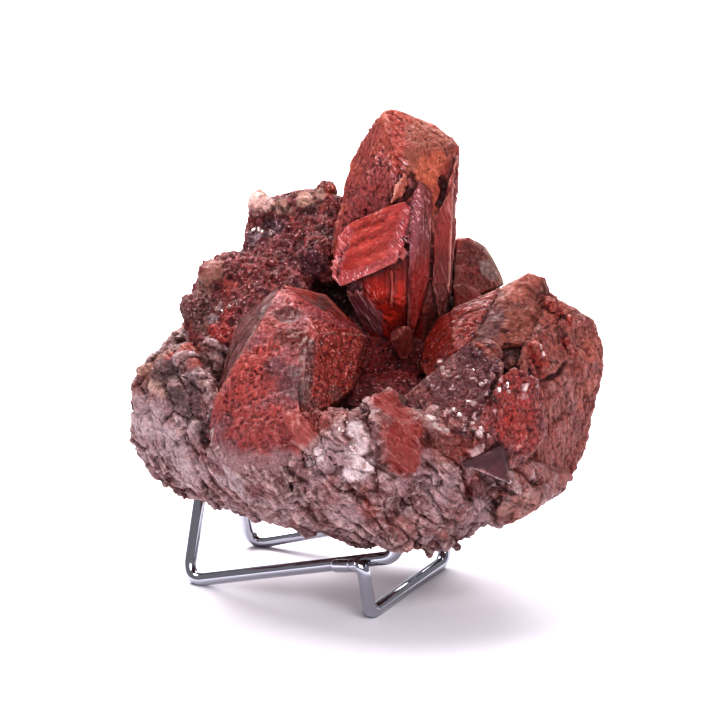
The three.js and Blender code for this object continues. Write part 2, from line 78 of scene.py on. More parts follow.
CORNERS = {
    # Bladed crystals
    "tall_body": [(-4, 4, 106), (3.2, 2, 118.6), (6, 4, 119.2), (16.5, 6, 114.4), (22, 2, 110),
        (20.5, -4, 92), (19.5, -5, 75.5), (17, -3, 67.5), (11.5, 2, 58), (7.5, 2, 58), (-5, -2, 75),
        (-9, 0, 85), (-6.5, 1, 96), (6.5, -6, 110.5), (8.5, -7, 74), (14.5, -8, 95), (1, 16, 110.5),
        (17.5, 18, 109), (20.5, 16, 71.5), (-4.5, 16, 71.5), (8, 14, 49), (-5.5, 16, 91.5)],
    "tall_plate": [(-4, -8, 93.5), (5.5, -10, 98), (8.5, -10, 99), (10.5, -9, 96.5), (10, -9, 91),
        (6.5, -11, 84), (-0.5, -12, 81), (-6.5, -10, 78), (-9, -7, 80), (-7.5, -7, 89), (-5.5, -1, 90),
        (9, -1, 96), (7.5, -1, 82), (-5.5, -1, 76.5)],
    "tall_blade": [(10, -7, 100.5), (12, -7, 103.5), (15, -7, 100.5), (15, -10, 89.5), (14.5, -9, 79.5),
        (10.5, -6, 63), (9, -5, 61), (9.5, -11, 82.5), (10, -10, 91.5), (12.5, 2, 99.5), (15, 2, 77),
        (10, 2, 61)],
    "tall_edge": [(19, -5, 102.5), (21.5, -1, 109.5), (20, -7, 92.5), (19.5, -7, 76.5), (17, -5, 68),
        (14.5, -5, 76), (15.5, -6, 90.5), (21, 6, 106), (19.5, 6, 71), (15, 4, 69)],
    "tall_slab": [(19.4, -6.4, 101), (20.5, -4.5, 102), (15.5, -7.2, 94), (15.2, -7.2, 78), (17, -6, 69),
        (19.8, -6.8, 78), (20.1, -6.8, 92), (16, -3, 93), (19.5, -2, 100), (16, -3, 74), (19.5, -3, 74)],
    "tall_foot": [(6.8, -10.4, 68), (9.2, -11, 68.9), (10.8, -10.4, 67.4), (10.9, -9.4, 63.6),
        (9.4, -9, 60), (7.4, -9.4, 60), (5.3, -10, 64.2), (5.1, -9.6, 66.4), (6.4, -2, 66),
        (10.8, -2, 64.5), (8.6, -2, 59.5)],
    "left_block": [(-21, -6, 77.5), (-25, -16, 72), (-31, -24, 63), (-36, -28, 55), (-38.5, -26, 44.5),
        (-27.5, -34, 47), (-16, -34, 50.5), (-15, -30, 60), (-14.5, -25, 65.5), (-12, -19, 69),
        (-14, -15, 72), (-0.5, -8, 66), (-2, -14, 63), (-4, -22, 56), (-8, -27, 54), (-16.5, -18, 42.5),
        (-2, -6, 51.5), (-33.5, -6, 41.5), (-29, 0, 62.5)],
    "left_bevel": [(-21, -5, 77.5), (-31.5, -6, 69.5), (-32.5, -10, 66.5), (-34, -16, 59.5),
        (-36, -19, 54.5), (-38.5, -22, 46.5), (-22, -9, 75.5), (-25.5, -15, 71.5), (-28, -19, 67),
        (-31, -23, 63), (-33.5, -25, 59), (-24, 4, 71.5), (-34, 2, 54.5)],
    "left_plate": [(-21, -4, 77.5), (-10, -4, 75), (-5.5, -4, 69), (-0.5, -5, 65), (-11.5, -8, 69.5),
        (-20, -6, 76.5), (-16.5, 4, 69), (-4.5, 4, 63), (-19, 4, 71.5)],
    "right_prism": [(12, -12, 59.5), (13.5, -10, 65.5), (17, -8, 70.5), (24.5, -5, 73.5), (32, -2, 76),
        (30.5, -13, 68), (23, -18, 65.5), (17, -18, 59), (13.5, -16, 57.5), (20.5, -16, 69),
        (32.5, 10, 70.5), (18, 10, 62.5), (15.5, 6, 53.5), (29.5, -4, 53.5)],
    "right_top": [(32, -2, 76), (39, 0, 79.5), (43, 2, 78), (44, 2, 74), (43.5, -2, 71.5), (30.5, -13, 68),
        (38.5, -16, 65), (24, -19, 66), (43, 20, 70.5), (33, 20, 68), (47.5, 10, 60), (30, 0, 55)],
    "right_block": [(44, 2, 74), (50.5, 3, 69.5), (55, 4, 66.5), (57.5, 4, 60.5), (58, 4, 54.5),
        (55.5, 2, 50), (53, 0, 43), (53, -2, 34.5), (50.5, -6, 31), (48, -10, 28), (41, -12, 68),
        (36, -19, 64), (38, -26, 49.5), (31, -28, 38), (43, -18, 29.5), (56, 24, 59.5), (56, 20, 42),
        (48.5, 14, 25.5), (43.5, 26, 64)],
    "right_glitter": [(7.5, -28, 55), (15, -25, 61), (23, -22, 67), (27.5, -19, 66.5), (32, -24, 63),
        (30.5, -34, 56.5), (23.5, -38, 49), (14, -37, 50.5), (9.5, -32, 54), (25, 0, 57.5), (12.5, -6, 49),
        (29.5, -10, 40)],
    "plum_facet": [(20.6, -41.2, 43.2), (31, -37.8, 47), (33.4, -35.4, 36.2), (25, -27, 42), (31, -24, 44),
        (31, -24, 37)],
    "right_foot": [(31, -31.2, 31.6), (39.6, -26.2, 32.2), (43.5, -20.5, 34.6), (46.2, -17.6, 30),
        (40, -24.6, 26.4), (31.6, -29, 23.8), (29.6, -30.4, 26), (34, -18, 32), (44, -8, 34), (38, -14, 25),
        (46, -8, 29)],
    "right_peak": [(31.5, -30, 62), (33.5, -28, 63), (40, -26, 59), (41.5, -28, 45), (35.5, -32, 39.5),
        (27.5, -38, 40.5), (23.5, -39, 48), (27, -36, 57), (41.5, -6, 49), (32, -10, 35)],
    "rear_right_crystal": [(22, 20, 84), (25.5, 19, 84.5), (29, 19, 82.5), (32.5, 18, 77), (34, 16, 73),
        (25, 12, 70), (21, 12, 72), (22, 30, 78.5), (32.5, 32, 72), (28.5, 28, 66)],
    "rear_right_chip": [(20.5, 6, 75), (24, 6, 75.5), (27.5, 4, 73.5), (28.5, 2, 71.5), (21, 4, 69),
        (23, 16, 69), (29, 14, 68)],
    "back_crystal_tall": [(-8, 36, 54), (2, 40, 50), (6, 34, 46), (-6, 30, 46), (-4, 42, 72), (4, 44, 70),
        (7, 38, 72), (-2, 36, 78)],
    "back_crystal_left": [(-34, 28, 46), (-27, 34, 42), (-23, 30, 38), (-32, 22, 42), (-38, 35, 60),
        (-31, 40, 58), (-27, 35, 66), (-35, 29, 66)],
    # Lumps of matrix and sugary crust
    "right_underside": [(23.5, -38, 45), (33, -32, 41.5), (44.5, -22, 36), (50, -14, 33), (46, -16, 28.5),
        (40, -22, 26), (34, -26, 24.5), (27.5, -28, 24.5), (21.5, -34, 32), (48, 6, 25), (33, 6, 20),
        (24.5, -10, 30)],
    "sugary_low": [(-45.5, -2, 65), (-45, 0, 70.5), (-42, 4, 77), (-39.5, 6, 80.5), (-36, 8, 83),
        (-29, 4, 83.5), (-17.5, 0, 82), (-12, -4, 73.5), (-23.5, -10, 67.5), (-36.5, -12, 62.5),
        (-44.5, -6, 61.5), (-42.5, 24, 72.5), (-32.5, 28, 79), (-17, 28, 76), (-42.5, 24, 56.5),
        (-14.5, 20, 60.5), (-29, 0, 57.5)],
    "sugary_top": [(-32, 12, 85), (-31, 14, 89), (-28.5, 16, 93.5), (-26, 17, 95), (-20.5, 18, 93.5),
        (-15.5, 18, 95), (-12.5, 18, 97), (-10.5, 18, 97.5), (-8, 14, 95.5), (-6, 8, 90.5), (-7.5, 2, 74.5),
        (-16.5, 0, 80), (-27, 4, 81), (-28.5, 26, 88.5), (-11.5, 27, 92), (-6, 28, 76.5), (-30, 28, 71.5),
        (-7, 26, 61.5)],
    "left_lobe": [(-43, -4, 64), (-47.5, -4, 60), (-54, -4, 59.5), (-57, -6, 56), (-58, -8, 49.5),
        (-58, -8, 42.5), (-56.5, -8, 36), (-52.5, -8, 31.5), (-49, -8, 26.5), (-43.5, -8, 23.5),
        (-37.5, -12, 23), (-42.5, -18, 64.5), (-48.5, -20, 52.5), (-44.5, -23, 41), (-38.5, -26, 34.5),
        (-33.5, -30, 45.5), (-36, -24, 58.5), (-52.5, 12, 51.5), (-56, 10, 37), (-51, 14, 27.5),
        (-42.5, 18, 24), (-37, 16, 48.5)],
    "rim_left": [(-40.5, -14, 24.5), (-34.5, -18, 25.5), (-31, -20, 24.5), (-24.5, -22, 23), (-21, -22, 21),
        (-38, -30, 45.5), (-27.5, -36, 49), (-16, -37, 52.5), (-16, -41, 41.5), (-30, -37, 40.5),
        (-18.5, -36, 31.5), (-16.5, -16, 19), (-34.5, 10, 22.5), (-19.5, 14, 17.5), (-36.5, 0, 42.5),
        (-16.5, -10, 50)],
    "rim_middle": [(-24, -24, 24), (-16.5, -24, 20.5), (-11.5, -24, 19.5), (-6.5, -24, 17.5),
        (-1.5, -24, 16.5), (3.5, -24, 16), (7, -22, 17), (9, -20, 18), (-16, -36, 53.5), (-6, -34, 55.5),
        (2, -32, 56.5), (6.5, -30, 55), (12, -36, 50), (-4.5, -43, 49.5), (2.5, -44, 40),
        (-13.5, -42, 39.5), (-9, -36, 28), (5, -37, 28), (8, 10, 18.5), (-17, 14, 17.5), (-12, 0, 42.5),
        (8, 0, 42.5)],
    "rim_right": [(10.5, -22, 18.5), (13.5, -22, 16), (16.5, -22, 16), (19, -22, 16), (21.5, -22, 18.5),
        (23.5, -22, 21), (27.5, -24, 23), (8.5, -32, 26.5), (14.5, -37, 28), (21, -39, 33.5), (12, -40, 46),
        (23.5, -40, 46), (28.5, -32, 31.5), (9.5, -36, 47.5), (28.5, 12, 18), (13, 8, 15.5), (8, 0, 34.5),
        (30.5, 6, 35.5)],
    "tall_root": [(-5.5, 4, 71.5), (7.5, 0, 67.5), (19, 4, 71.5), (20, 2, 62), (12.5, -4, 53.5),
        (0.5, -4, 53.5), (-8, 2, 62), (-7, 24, 69.5), (20.5, 24, 69.5), (26, 24, 46.5), (-9.5, 24, 46.5)],
    "back_middle": [(-28, 34, 50), (-10, 38, 42), (10, 38, 46), (25, 35, 54), (28, 30, 64), (-24, 30, 70),
        (-2, 33, 74), (15, 31, 72), (-24, 27, 30), (-2, 29, 23), (20, 26, 26), (-30, 12, 28), (26, 8, 22),
        (-2, 10, 20), (-26, 10, 74), (22, 10, 70), (-8, 8, 20)],
    "back_left": [(-55, 0, 42), (-53, 12, 38), (-49, 22, 44), (-43, 29, 52), (-32, 33, 42), (-26, 33, 62),
        (-33, 27, 76), (-44, 16, 68), (-51, 4, 60), (-55, 4, 52), (-40, 18, 31), (-26, 26, 28),
        (-12, 22, 30), (-16, 32, 68), (-16, 10, 74), (-22, 20, 80)],
    "back_right": [(48, -6, 30), (54, 4, 40), (55, 15, 46), (49, 25, 52), (40, 31, 58), (28, 33, 62),
        (20, 33, 44), (32, 28, 30), (44, 14, 27), (50, 4, 62), (44, 20, 68), (30, 26, 70), (20, 6, 24)],
    "sugary_back": [(-30, 30, 66), (-22, 34, 70), (-14, 34, 68), (-8, 28, 70), (-29, 24, 88), (-24, 30, 92),
        (-16, 32, 90), (-11, 26, 92), (-12, 20, 97), (-26, 18, 92)],
}


# ---- Noise: every function takes points in millimetres and gives the same result on every run ----

OCTAVE_SHIFT = 17.3
GRAIN_STEPS = 65521  # how finely one random number is told from another
CHIP_STEPS = 4096


def scattered(cells, seed):
    """Three even random numbers from 0 to 1 for each whole-number cell, by mixing the bits of its place."""
    c = cells.astype(np.int64).astype(np.uint64)
    h = c[..., 0] * np.uint64(374761393) + c[..., 1] * np.uint64(668265263)
    h = h + c[..., 2] * np.uint64(2147483647) + np.uint64(seed * 1274126177 + 97)
    numbers = []
    for _ in range(3):
        h = (h ^ (h >> np.uint64(29))) * np.uint64(0xBF58476D1CE4E5B9)
        h = (h ^ (h >> np.uint64(32))) * np.uint64(0x94D049BB133111EB)
        h = h ^ (h >> np.uint64(31))
        numbers.append((h >> np.uint64(40)).astype(float) / float(1 << 24))
        h = h + np.uint64(0x9E3779B97F4A7C15)
    return np.stack(numbers, -1)


def eased(t):
    """0 at 0, 1 at 1 and level at both ends: 3t²-2t³."""
    return t * t * (3 - 2 * t)


def cloud(points, size, seed, octaves=1):
    """Smooth noise from -1 to 1 with lumps about size mm across: random values at the corners of a
    lattice, eased from one to the next. Each further octave adds lumps half as big and half as strong."""
    total = np.zeros(len(points))
    strength = 0.0
    for octave in range(octaves):
        q = points / size * 2**octave + OCTAVE_SHIFT * octave
        cell = np.floor(q)
        t = eased(q - cell)
        value = np.zeros(len(points))
        for corner in product((0, 1), repeat=3):
            share = np.prod(np.where(corner, t, 1 - t), axis=1)
            value += share * (scattered(cell + corner, seed + octave)[:, 0] * 2 - 1)
        total += value / 2**octave
        strength += 1 / 2**octave
    return total / strength


def grains(points, size, seed):
    """Which grain of a random packing each point lies in, for grains about size mm across: the offset from
    the grain's centre in mm, the grain's three random numbers, and the distance to the next grain in mm."""
    q = points / size
    base = np.floor(q)
    nearest = np.full(len(q), 9.0)
    second = np.full(len(q), 9.0)
    offset = np.zeros_like(q)
    chance = np.zeros_like(q)
    for corner in product((-1, 0, 1), repeat=3):
        cell = base + corner
        random = scattered(cell, seed)
        gap = q - cell - random
        reach = np.einsum("ij,ij->i", gap, gap)
        closer = reach < nearest
        second = np.where(closer, nearest, np.minimum(second, reach))
        nearest = np.where(closer, reach, nearest)
        offset[closer] = gap[closer]
        chance[closer] = random[closer]
    chance = scattered(np.round(chance * GRAIN_STEPS), seed + 5)
    return offset * size, chance, (np.sqrt(second) - np.sqrt(nearest)) * size


def step(low, high, value):
    """0 below low, 1 above high, and eased between them."""
    return eased(np.clip((value - low) / (high - low), 0, 1))


def unit(vectors):
    """The vectors at a length of 1."""
    return vectors / np.maximum(np.linalg.norm(vectors, axis=-1, keepdims=True), 1e-9)


# ---- Meshes --------------------------------------------------------------------------------------


def mesh_from(name, points, faces, scale=MM, smooth=True):
    """A mesh in metres from points in mm and a list of face arrays, all triangles or all four-sided."""
    mesh = bpy.data.meshes.new(name)
    sides = np.concatenate([np.full(len(f), f.shape[1]) for f in faces])
    mesh.vertices.add(len(points))
    mesh.vertices.foreach_set("co", (points * scale).astype(np.float32).ravel())
    mesh.loops.add(int(sides.sum()))
    mesh.loops.foreach_set("vertex_index", np.concatenate([f.ravel() for f in faces]).astype(np.int32))
    mesh.polygons.add(len(sides))
    mesh.polygons.foreach_set("loop_start", (np.cumsum(sides) - sides).astype(np.int32))
    mesh.polygons.foreach_set("loop_total", sides.astype(np.int32))
    mesh.polygons.foreach_set("use_smooth", np.full(len(sides), smooth))
    mesh.update(calc_edges=True)
    mesh.validate()
    return mesh


def add_object(name, data, material=None):
    """Links a mesh, a lamp or a camera into the scene, at the origin."""
    made = bpy.data.objects.new(name, data)
    bpy.context.scene.collection.objects.link(made)
    if material is not None:
        data.materials.append(material)
    return made


def joined(solids):
    """Several (points, faces) as one."""
    starts = np.cumsum([0] + [len(points) for points, _ in solids[:-1]])
    points = np.concatenate([points for points, _ in solids])
    return points, np.concatenate([faces + start for (_, faces), start in zip(solids, starts)])


def read_mesh(mesh):
    """Points, faces and edges of a mesh of four-sided faces."""
    points = np.empty(len(mesh.vertices) * 3, np.float32)
    mesh.vertices.foreach_get("co", points)
    corners = np.empty(len(mesh.loops), np.int32)
    mesh.loops.foreach_get("vertex_index", corners)
    edges = np.empty(len(mesh.edges) * 2, np.int32)
    mesh.edges.foreach_get("vertices", edges)
    return points.reshape(-1, 3).astype(float), corners.reshape(-1, 4), edges.reshape(-1, 2)


def wrapped(name, solids, voxel):
    """One closed skin of four-sided faces, about voxel mm wide, round everything that is handed in."""
    points, triangles = joined(solids)
    rough = add_object(name + "_rough", mesh_from(name + "_rough", points, [triangles], scale=1))
    skin = rough.modifiers.new("skin", "REMESH")
    skin.mode = "VOXEL"
    skin.voxel_size = voxel
    found = rough.evaluated_get(bpy.context.evaluated_depsgraph_get())
    mesh = found.to_mesh()
    points, faces, edges = read_mesh(mesh)
    found.to_mesh_clear()
    bpy.data.meshes.remove(rough.data)
    return points, faces, edges


def normals_of(points, faces):
    """Vertex normals: the area-weighted mean of the faces round each vertex."""
    a, b, c, d = (points[faces[:, k]] for k in range(4))
    n = np.cross(c - a, d - b)
    total = np.stack([np.bincount(faces.ravel(), np.repeat(n[:, k], 4), len(points)) for k in range(3)], 1)
    return unit(total)


def neighbour_mean(points, edges, rounds):
    """Each point takes the mean of its neighbours, rounds times."""
    a, b = edges.T
    count = np.bincount(a, minlength=len(points)) + np.bincount(b, minlength=len(points))
    for _ in range(rounds):
        points = np.stack([
            (np.bincount(a, column[b], len(points)) + np.bincount(b, column[a], len(points))) / count
            for column in points.T
        ], 1)
    return points


# ---- Solids of the rock --------------------------------------------------------------------------


def face_planes(corners):
    """Outward unit normals and offsets of the faces of a hull: each plane through three corners that
    leaves all the other corners on one side."""
    p = np.array(corners, float)
    i, j, k = np.array(list(combinations(range(len(p)), 3))).T
    normal = np.cross(p[j] - p[i], p[k] - p[i])
    size = np.linalg.norm(normal, axis=1)
    wide = size > 0.2
    normal = normal[wide] / size[wide, None]
    offset = np.einsum("ij,ij->i", normal, p[i[wide]])
    side = p @ normal.T - offset
    above = side.max(0) < 1e-4
    below = side.min(0) > -1e-4
    normal = np.concatenate([normal[above], -normal[below]])
    offset = np.concatenate([offset[above], -offset[below]])
    _, first = np.unique(np.round(np.column_stack([normal, offset]), 2), axis=0, return_index=True)
    return normal[first], offset[first]


def direction_grid(around, down):
    """Unit vectors on a grid of longitude and latitude, closed at both poles, and its triangles."""
    longitude = np.arange(around) / around * 2 * np.pi
    latitude = np.arange(1, down) / down * np.pi
    u, v = np.meshgrid(longitude, latitude)
    rows = np.stack([np.sin(v) * np.cos(u), np.sin(v) * np.sin(u), np.cos(v)], -1).reshape(-1, 3)
    index = np.arange(around * (down - 1)).reshape(down - 1, around)
    a, b = index[:-1], index[1:]
    an, bn = np.roll(a, -1, 1), np.roll(b, -1, 1)
    top, end = len(rows), len(rows) + 1
    cap, foot = index[0], index[-1]
    triangles = np.concatenate([
        np.stack([a, b, bn], -1).reshape(-1, 3),
        np.stack([a, bn, an], -1).reshape(-1, 3),
        np.stack([np.full(around, top), cap, np.roll(cap, -1)], -1),
        np.stack([np.full(around, end), np.roll(foot, -1), foot], -1),
    ])
    return np.concatenate([rows, [UP, -UP]]), triangles


def block(corners, sharpness):
    """A block with flat faces and slightly worn edges. In each direction it reaches as far as the nearest
    face plane, blended by the power mean r = (sum of (n·u / d)^sharpness)^(-1 / sharpness)."""
    normal, offset = face_planes(corners)
    centre = np.mean(corners, axis=0)
    reach = offset - normal @ centre
    direction, triangles = direction_grid(*BLOCK_GRID)
    nearness = np.maximum(direction @ (normal / reach[:, None]).T, 0)
    peak = nearness.max(1)
    worn = ((nearness / peak[:, None]) ** sharpness).sum(1) ** (1 / sharpness) * peak
    return centre + direction / worn[:, None], triangles


def crystal_flakes(centres, normals, random, size, tilt, along=None):
    """Small tabular crystals: a bevelled six-sided plate for each centre, size = (length, width, thickness)
    in mm, turned so that its plate leans about tilt radians away from lying along the surface. Its length
    runs along a given direction, or else along one that drifts with slow noise."""
    outline = np.array([(-1, 0.1), (-0.5, 0.9), (0.62, 1), (1, -0.1), (0.5, -0.9), (-0.62, -1)]) / 2
    layers = [np.column_stack([outline * scale, np.full(6, z)])
              for scale, z in ((0.72, -0.5), (1, -0.1), (0.8, 0.5))]
    plate = np.concatenate(layers)
    ring = np.arange(6)
    after = np.roll(ring, -1)
    walls = [np.concatenate([
        np.stack([ring + r, after + r, after + r + 6], 1),
        np.stack([ring + r, after + r + 6, ring + r + 6], 1),
    ]) for r in (0, 6)]
    caps = [[(0, k + 1, k) for k in range(1, 5)], [(12, 12 + k, 13 + k) for k in range(1, 5)]]
    triangles = np.concatenate([*walls, *map(np.array, caps)])
    count = len(centres)
    scale = np.array(size) * random.uniform(0.6, 1.45, (count, 3))
    up = unit(normals + random.normal(0, 1, (count, 3)) * np.tan(tilt) * 0.6)
    if along is None:
        drift = np.stack([cloud(centres, 9, 31 + k) for k in range(3)], 1)
        along = unit(drift + random.normal(0, 0.22, (count, 3))) + np.array([0.2, 0, 0])
    across = unit(np.cross(up, along + random.normal(0, 0.05, (count, 3))))
    axes = np.stack([np.cross(across, up), across, up], 1)
    points = centres[:, None] + np.einsum("pk,nk,nkj->npj", plate, scale, axes)
    faces = triangles[None] + np.arange(count)[:, None, None] * len(plate)
    return points.reshape(-1, 3), faces.reshape(-1, 3)


def ball(centre, size):
    """A rounded lump: an ellipsoid, centre and half axes in mm."""
    direction, triangles = direction_grid(*BALL_GRID)
    return np.array(centre, float) + direction * size, triangles


# ---- Skins: closed surfaces that are carved and stained point by point ---------------------------


def streaked(points, axis, across, along):
    """Points squeezed so that noise of size 1 on them becomes streaks along an axis, in mm."""
    axis = unit(np.array(axis, float))
    run = points @ axis
    return points / across + axis * (run * (1 / along - 1 / across))[:, None]


def chips(points, size, lean, lift, seed):
    """The height of a broken surface: each grain of a packing is a flat chip of its own, leaning at random
    by up to lean and raised at random by up to lift mm."""
    offset, chance, _ = grains(points, size, seed)
    other = scattered(np.round(chance * CHIP_STEPS), seed + 1) - 0.5
    return 2 * lean * np.einsum("ij,ij->i", offset, other) + lift * (chance[:, 0] - 0.5)


def run_along(path):
    """How far along a path each of its points lies, in mm."""
    return np.concatenate([[0], np.cumsum(np.linalg.norm(np.diff(path, axis=0), axis=1))])


def distance_to(points, path):
    """Distance in mm from each point to a line through the points of a path."""
    nearest = np.full(len(points), np.inf)
    for start, end in zip(np.array(path[:-1], float), np.array(path[1:], float)):
        run = end - start
        t = np.clip((points - start) @ run / (run @ run), 0, 1)
        nearest = np.minimum(nearest, np.linalg.norm(points - start - t[:, None] * run, axis=1))
    return nearest


def linear(hex_colour):
    """The linear red, green and blue of an sRGB hex value."""
    value = np.array([int(hex_colour[k:k + 2], 16) for k in (1, 3, 5)]) / 255
    return np.where(value <= 0.04045, value / 12.92, ((value + 0.055) / 1.055) ** 2.4)


CREASE = np.radians(38)  # edges that bend by more than this look sharp


class Skin:
    """A closed skin of four-sided faces. Each point has a colour, how glossy and sugary it is, how much
    painted glint it takes, and silk, its place squeezed so that the material's fine streaks run along the
    crystal. place is where the points are when staining starts, so that noise stays put while the surface
    is carved."""

    def __init__(self, points, faces, edges):
        self.points, self.faces, self.edges = points, faces, edges
        self.place = points
        count = len(points)
        self.normals = normals_of(points, faces)
        self.colours = np.zeros((count, 3))
        self.gloss = np.full(count, 0.3)
        self.sugar = np.full(count, 0.5)
        self.glint = np.zeros(count)
        self.silk = points / 0.6
        self.bend = cloud(points, 3.5, 61, 2) * 0.35 + cloud(points, 0.9, 62) * 0.15

    def lift(self, height):
        """Moves each point along its normal by a height in mm."""
        self.points = self.points + self.normals * height[:, None]
        self.normals = normals_of(self.points, self.faces)

    def lay(self, share, colour):
        """Mixes a colour in by each point's share."""
        self.colours += (linear(colour) - self.colours) * np.clip(share, 0, 1)[:, None]

    def mottle(self, share, size, seed, low, high, colour, octaves=1):
        """Lays a colour where noise with lumps size mm across passes from low to high."""
        self.lay(share * step(low, high, cloud(self.place, size, seed, octaves)), colour)

    def hollow(self, rounds):
        """How deep each point lies below the mean of the surface round it, in mm; ridges are negative."""
        around = neighbour_mean(self.points, self.edges, rounds)
        return np.einsum("ij,ij->i", around - self.points, self.normals)

    def spots(self, patches):
        """How much each point takes of patches (x, y, z, reach) in mm, with rims made uneven by noise."""
        total = np.zeros(len(self.points))
        for x, y, z, reach in patches:
            distance = np.linalg.norm(self.points - (x, y, z), axis=1) / reach + self.bend
            total = np.maximum(total, 1 - step(0.6, 1.0, distance))
        return total

    def along(self, path, width, ragged=0.4):
        """How much each point takes of a line drawn through a path, width mm to each side."""
        return 1 - step(0.45, 1.0, distance_to(self.points, path) / width + ragged * self.bend)

    def comb(self, share, axis, across=0.45, along=6):
        """Turns the fine streaks along an axis where share is over a half."""
        chosen = share > 0.5
        self.silk[chosen] = streaked(self.points[chosen], axis, across, along)

    def stain(self, rows):
        """Lays colours on in patches: rows of (colour, strength, gloss, patches)."""
        for colour, strength, gloss, patches in rows:
            share = self.spots(patches)
            self.lay(share * strength, colour)
            self.gloss += (gloss - self.gloss) * share

    def shade_oxide_and_wear(self, dark, pale, hollow_shade_and_oxide=0.6, bruised=0.3):
        """Darkens the hollows, as painted shade and as the iron oxide that settles there, and bruises the
        ridges pale.
        """
        worn = step(-0.1, 0.5, cloud(self.points, 2.2, 41))
        # At two sizes: hollows are darkened by painted shade and iron oxide, ridges are worn pale
        for rounds, depth in ((4, 0.12), (24, 0.5)):
            hollow = self.hollow(rounds)
            self.lay(hollow_shade_and_oxide * step(0.1 * depth, depth, hollow), dark)
            self.lay(bruised * step(0.15 * depth, 1.1 * depth, -hollow) * worn, pale)

    def finish(self, name, material):
        """The skin as a piece of rock that rides on the object's one body."""
        mesh = mesh_from(name, self.points, [self.faces])
        mesh.set_sharp_from_angle(angle=CREASE)
        rgba = np.column_stack([np.clip(self.colours, 0, 1), np.ones(len(self.points))])
        for key, kind, field, values in (
                ("stain", "FLOAT_COLOR", "color", rgba), ("silk", "FLOAT_VECTOR", "vector", self.silk),
                ("gloss", "FLOAT", "value", np.clip(self.gloss, 0, 1)),
                ("sugar", "FLOAT", "value", np.clip(self.sugar, 0, 1)),
                ("glint", "FLOAT", "value", np.clip(self.glint, 0, 1))):
            row = mesh.attributes.new(key, kind, "POINT").data
            row.foreach_set(field, values.astype(np.float32).ravel())
        piece = add_object(name, mesh, material)
        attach(piece, BODY)
        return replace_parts(piece, "gypsum_cluster")


# ---- Crystals with flat faces --------------------------------------------------------------------

BLOCK_GRID = (150, 90)
BALL_GRID = (40, 24)
FACE_SHIFT = 31.7  # moves the noise on from face to face
CRYSTAL_SHARPNESS = 90
SADDLE_SHARPNESS = 40
MATRIX_SHARPNESS = 14
COARSE_VOXEL = 1.1


class Finish(NamedTuple):
    """How a block's faces look: the axis its streaks run along, the depth in mm of streaks, growth steps
    and pits, its two colours, how glossy and sugary it is, and how much painted glint it takes."""

    axis: tuple
    streak: float
    steps: float
    pits: float
    base: str
    drift: str
    gloss: float
    sugar: float
    glint: float = 0.1


TALL_AXIS = (0.02, 0.03, 1)
RIGHT_AXIS = (0.15, 0.1, -0.98)
FINISHES = {
    "tall_body": Finish(TALL_AXIS, 0.10, 0.35, 0.25, "#8d423a", "#994a3a", 0.45, 0.35),
    "tall_plate": Finish((0.93, 0, 0.36), 0.10, 0.10, 0.15, "#ab403a", "#962f29", 0.5, 0.25),
    "tall_blade": Finish(TALL_AXIS, 0.12, 0.20, 0.10, "#703538", "#6c2724", 0.6, 0.3, 0.3),
    "tall_edge": Finish(TALL_AXIS, 0.12, 0.20, 0.10, "#8a332c", "#7c2a24", 0.6, 0.2, 0.15),
    "tall_slab": Finish((-0.25, 0, 1), 0.12, 0.15, 0.10, "#88322b", "#732420", 0.6, 0.2, 0.2),
    "tall_foot": Finish(TALL_AXIS, 0.15, 0.10, 0.10, "#6a211c", "#5c1a17", 0.75, 0.25),
    "left_block": Finish((0.1, 0.5, 0.85), 0.10, 0.35, 0.35, "#8f3d3b", "#7f4347", 0.4, 0.45),
    "left_bevel": Finish((-0.62, -0.25, -0.75), 0.16, 0.20, 0.05, "#5c2d2a", "#4a2222", 0.55, 0.1),
    "left_plate": Finish((0.85, 0, -0.5), 0.12, 0.12, 0.05, "#80302b", "#5f2e2c", 0.8, 0.1, 0.05),
    "right_prism": Finish((0.8, 0.1, 0.45), 0.20, 0.30, 0.15, "#84291f", "#883a34", 0.55, 0.25, 0.2),
    "right_top": Finish((0.8, 0.1, 0.45), 0.10, 0.50, 0.20, "#7d4033", "#6e3832", 0.35, 0.4),
    "right_block": Finish(RIGHT_AXIS, 0.16, 0.50, 0.30, "#90534a", "#82443e", 0.4, 0.5),
    "right_glitter": Finish((0.6, 0.3, -0.6), 0.08, 0.40, 0.30, "#5c2c33", "#652626", 0.6, 0.7),
    "right_peak": Finish((0.5, 0, -0.8), 0.14, 0.40, 0.35, "#8f3c38", "#7a4444", 0.5, 0.6),
    "plum_facet": Finish((0.6, 0, 0.3), 0.06, 0.15, 0.10, "#5a2d32", "#46242a", 0.6, 0.25, 0),
    "right_foot": Finish((0.8, 0.5, -0.2), 0.08, 0.50, 0.40, "#8a5c57", "#704a4a", 0.5, 0.3, 0.05),
    "rear_right_crystal": Finish((0.6, -0.5, -0.6), 0.14, 0.4, 0.3, "#84362f", "#6b2e2a", 0.5, 0.5),
    "rear_right_chip": Finish((0.6, -0.5, -0.6), 0.10, 0.2, 0.2, "#7c2f28", "#8a4a40", 0.5, 0.3),
}


def owners(points, names):
    """For each point: the block whose surface lies nearest, which of its faces, the normal of that face's
    plane, the height above it, and how far the next plane lies from it, in mm."""
    level = np.full(len(points), np.inf)
    normal = np.zeros_like(points)
    margin = np.zeros(len(points))
    block_index = np.zeros(len(points), int)
    face_index = np.zeros(len(points), int)
    for number, name in enumerate(names):
        planes, offsets = face_planes(CORNERS[name])
        height = points @ planes.T - offsets
        order = np.argsort(height, axis=1)
        face = order[:, -1]
        rows = np.arange(len(points))
        top = height[rows, face]
        here = top < level
        level[here] = top[here]
        normal[here] = planes[face[here]]
        margin[here] = (top - height[rows, order[:, -2]])[here]
        block_index[here] = number
        face_index[here] = face[here]
    return level, normal, margin, block_index, face_index


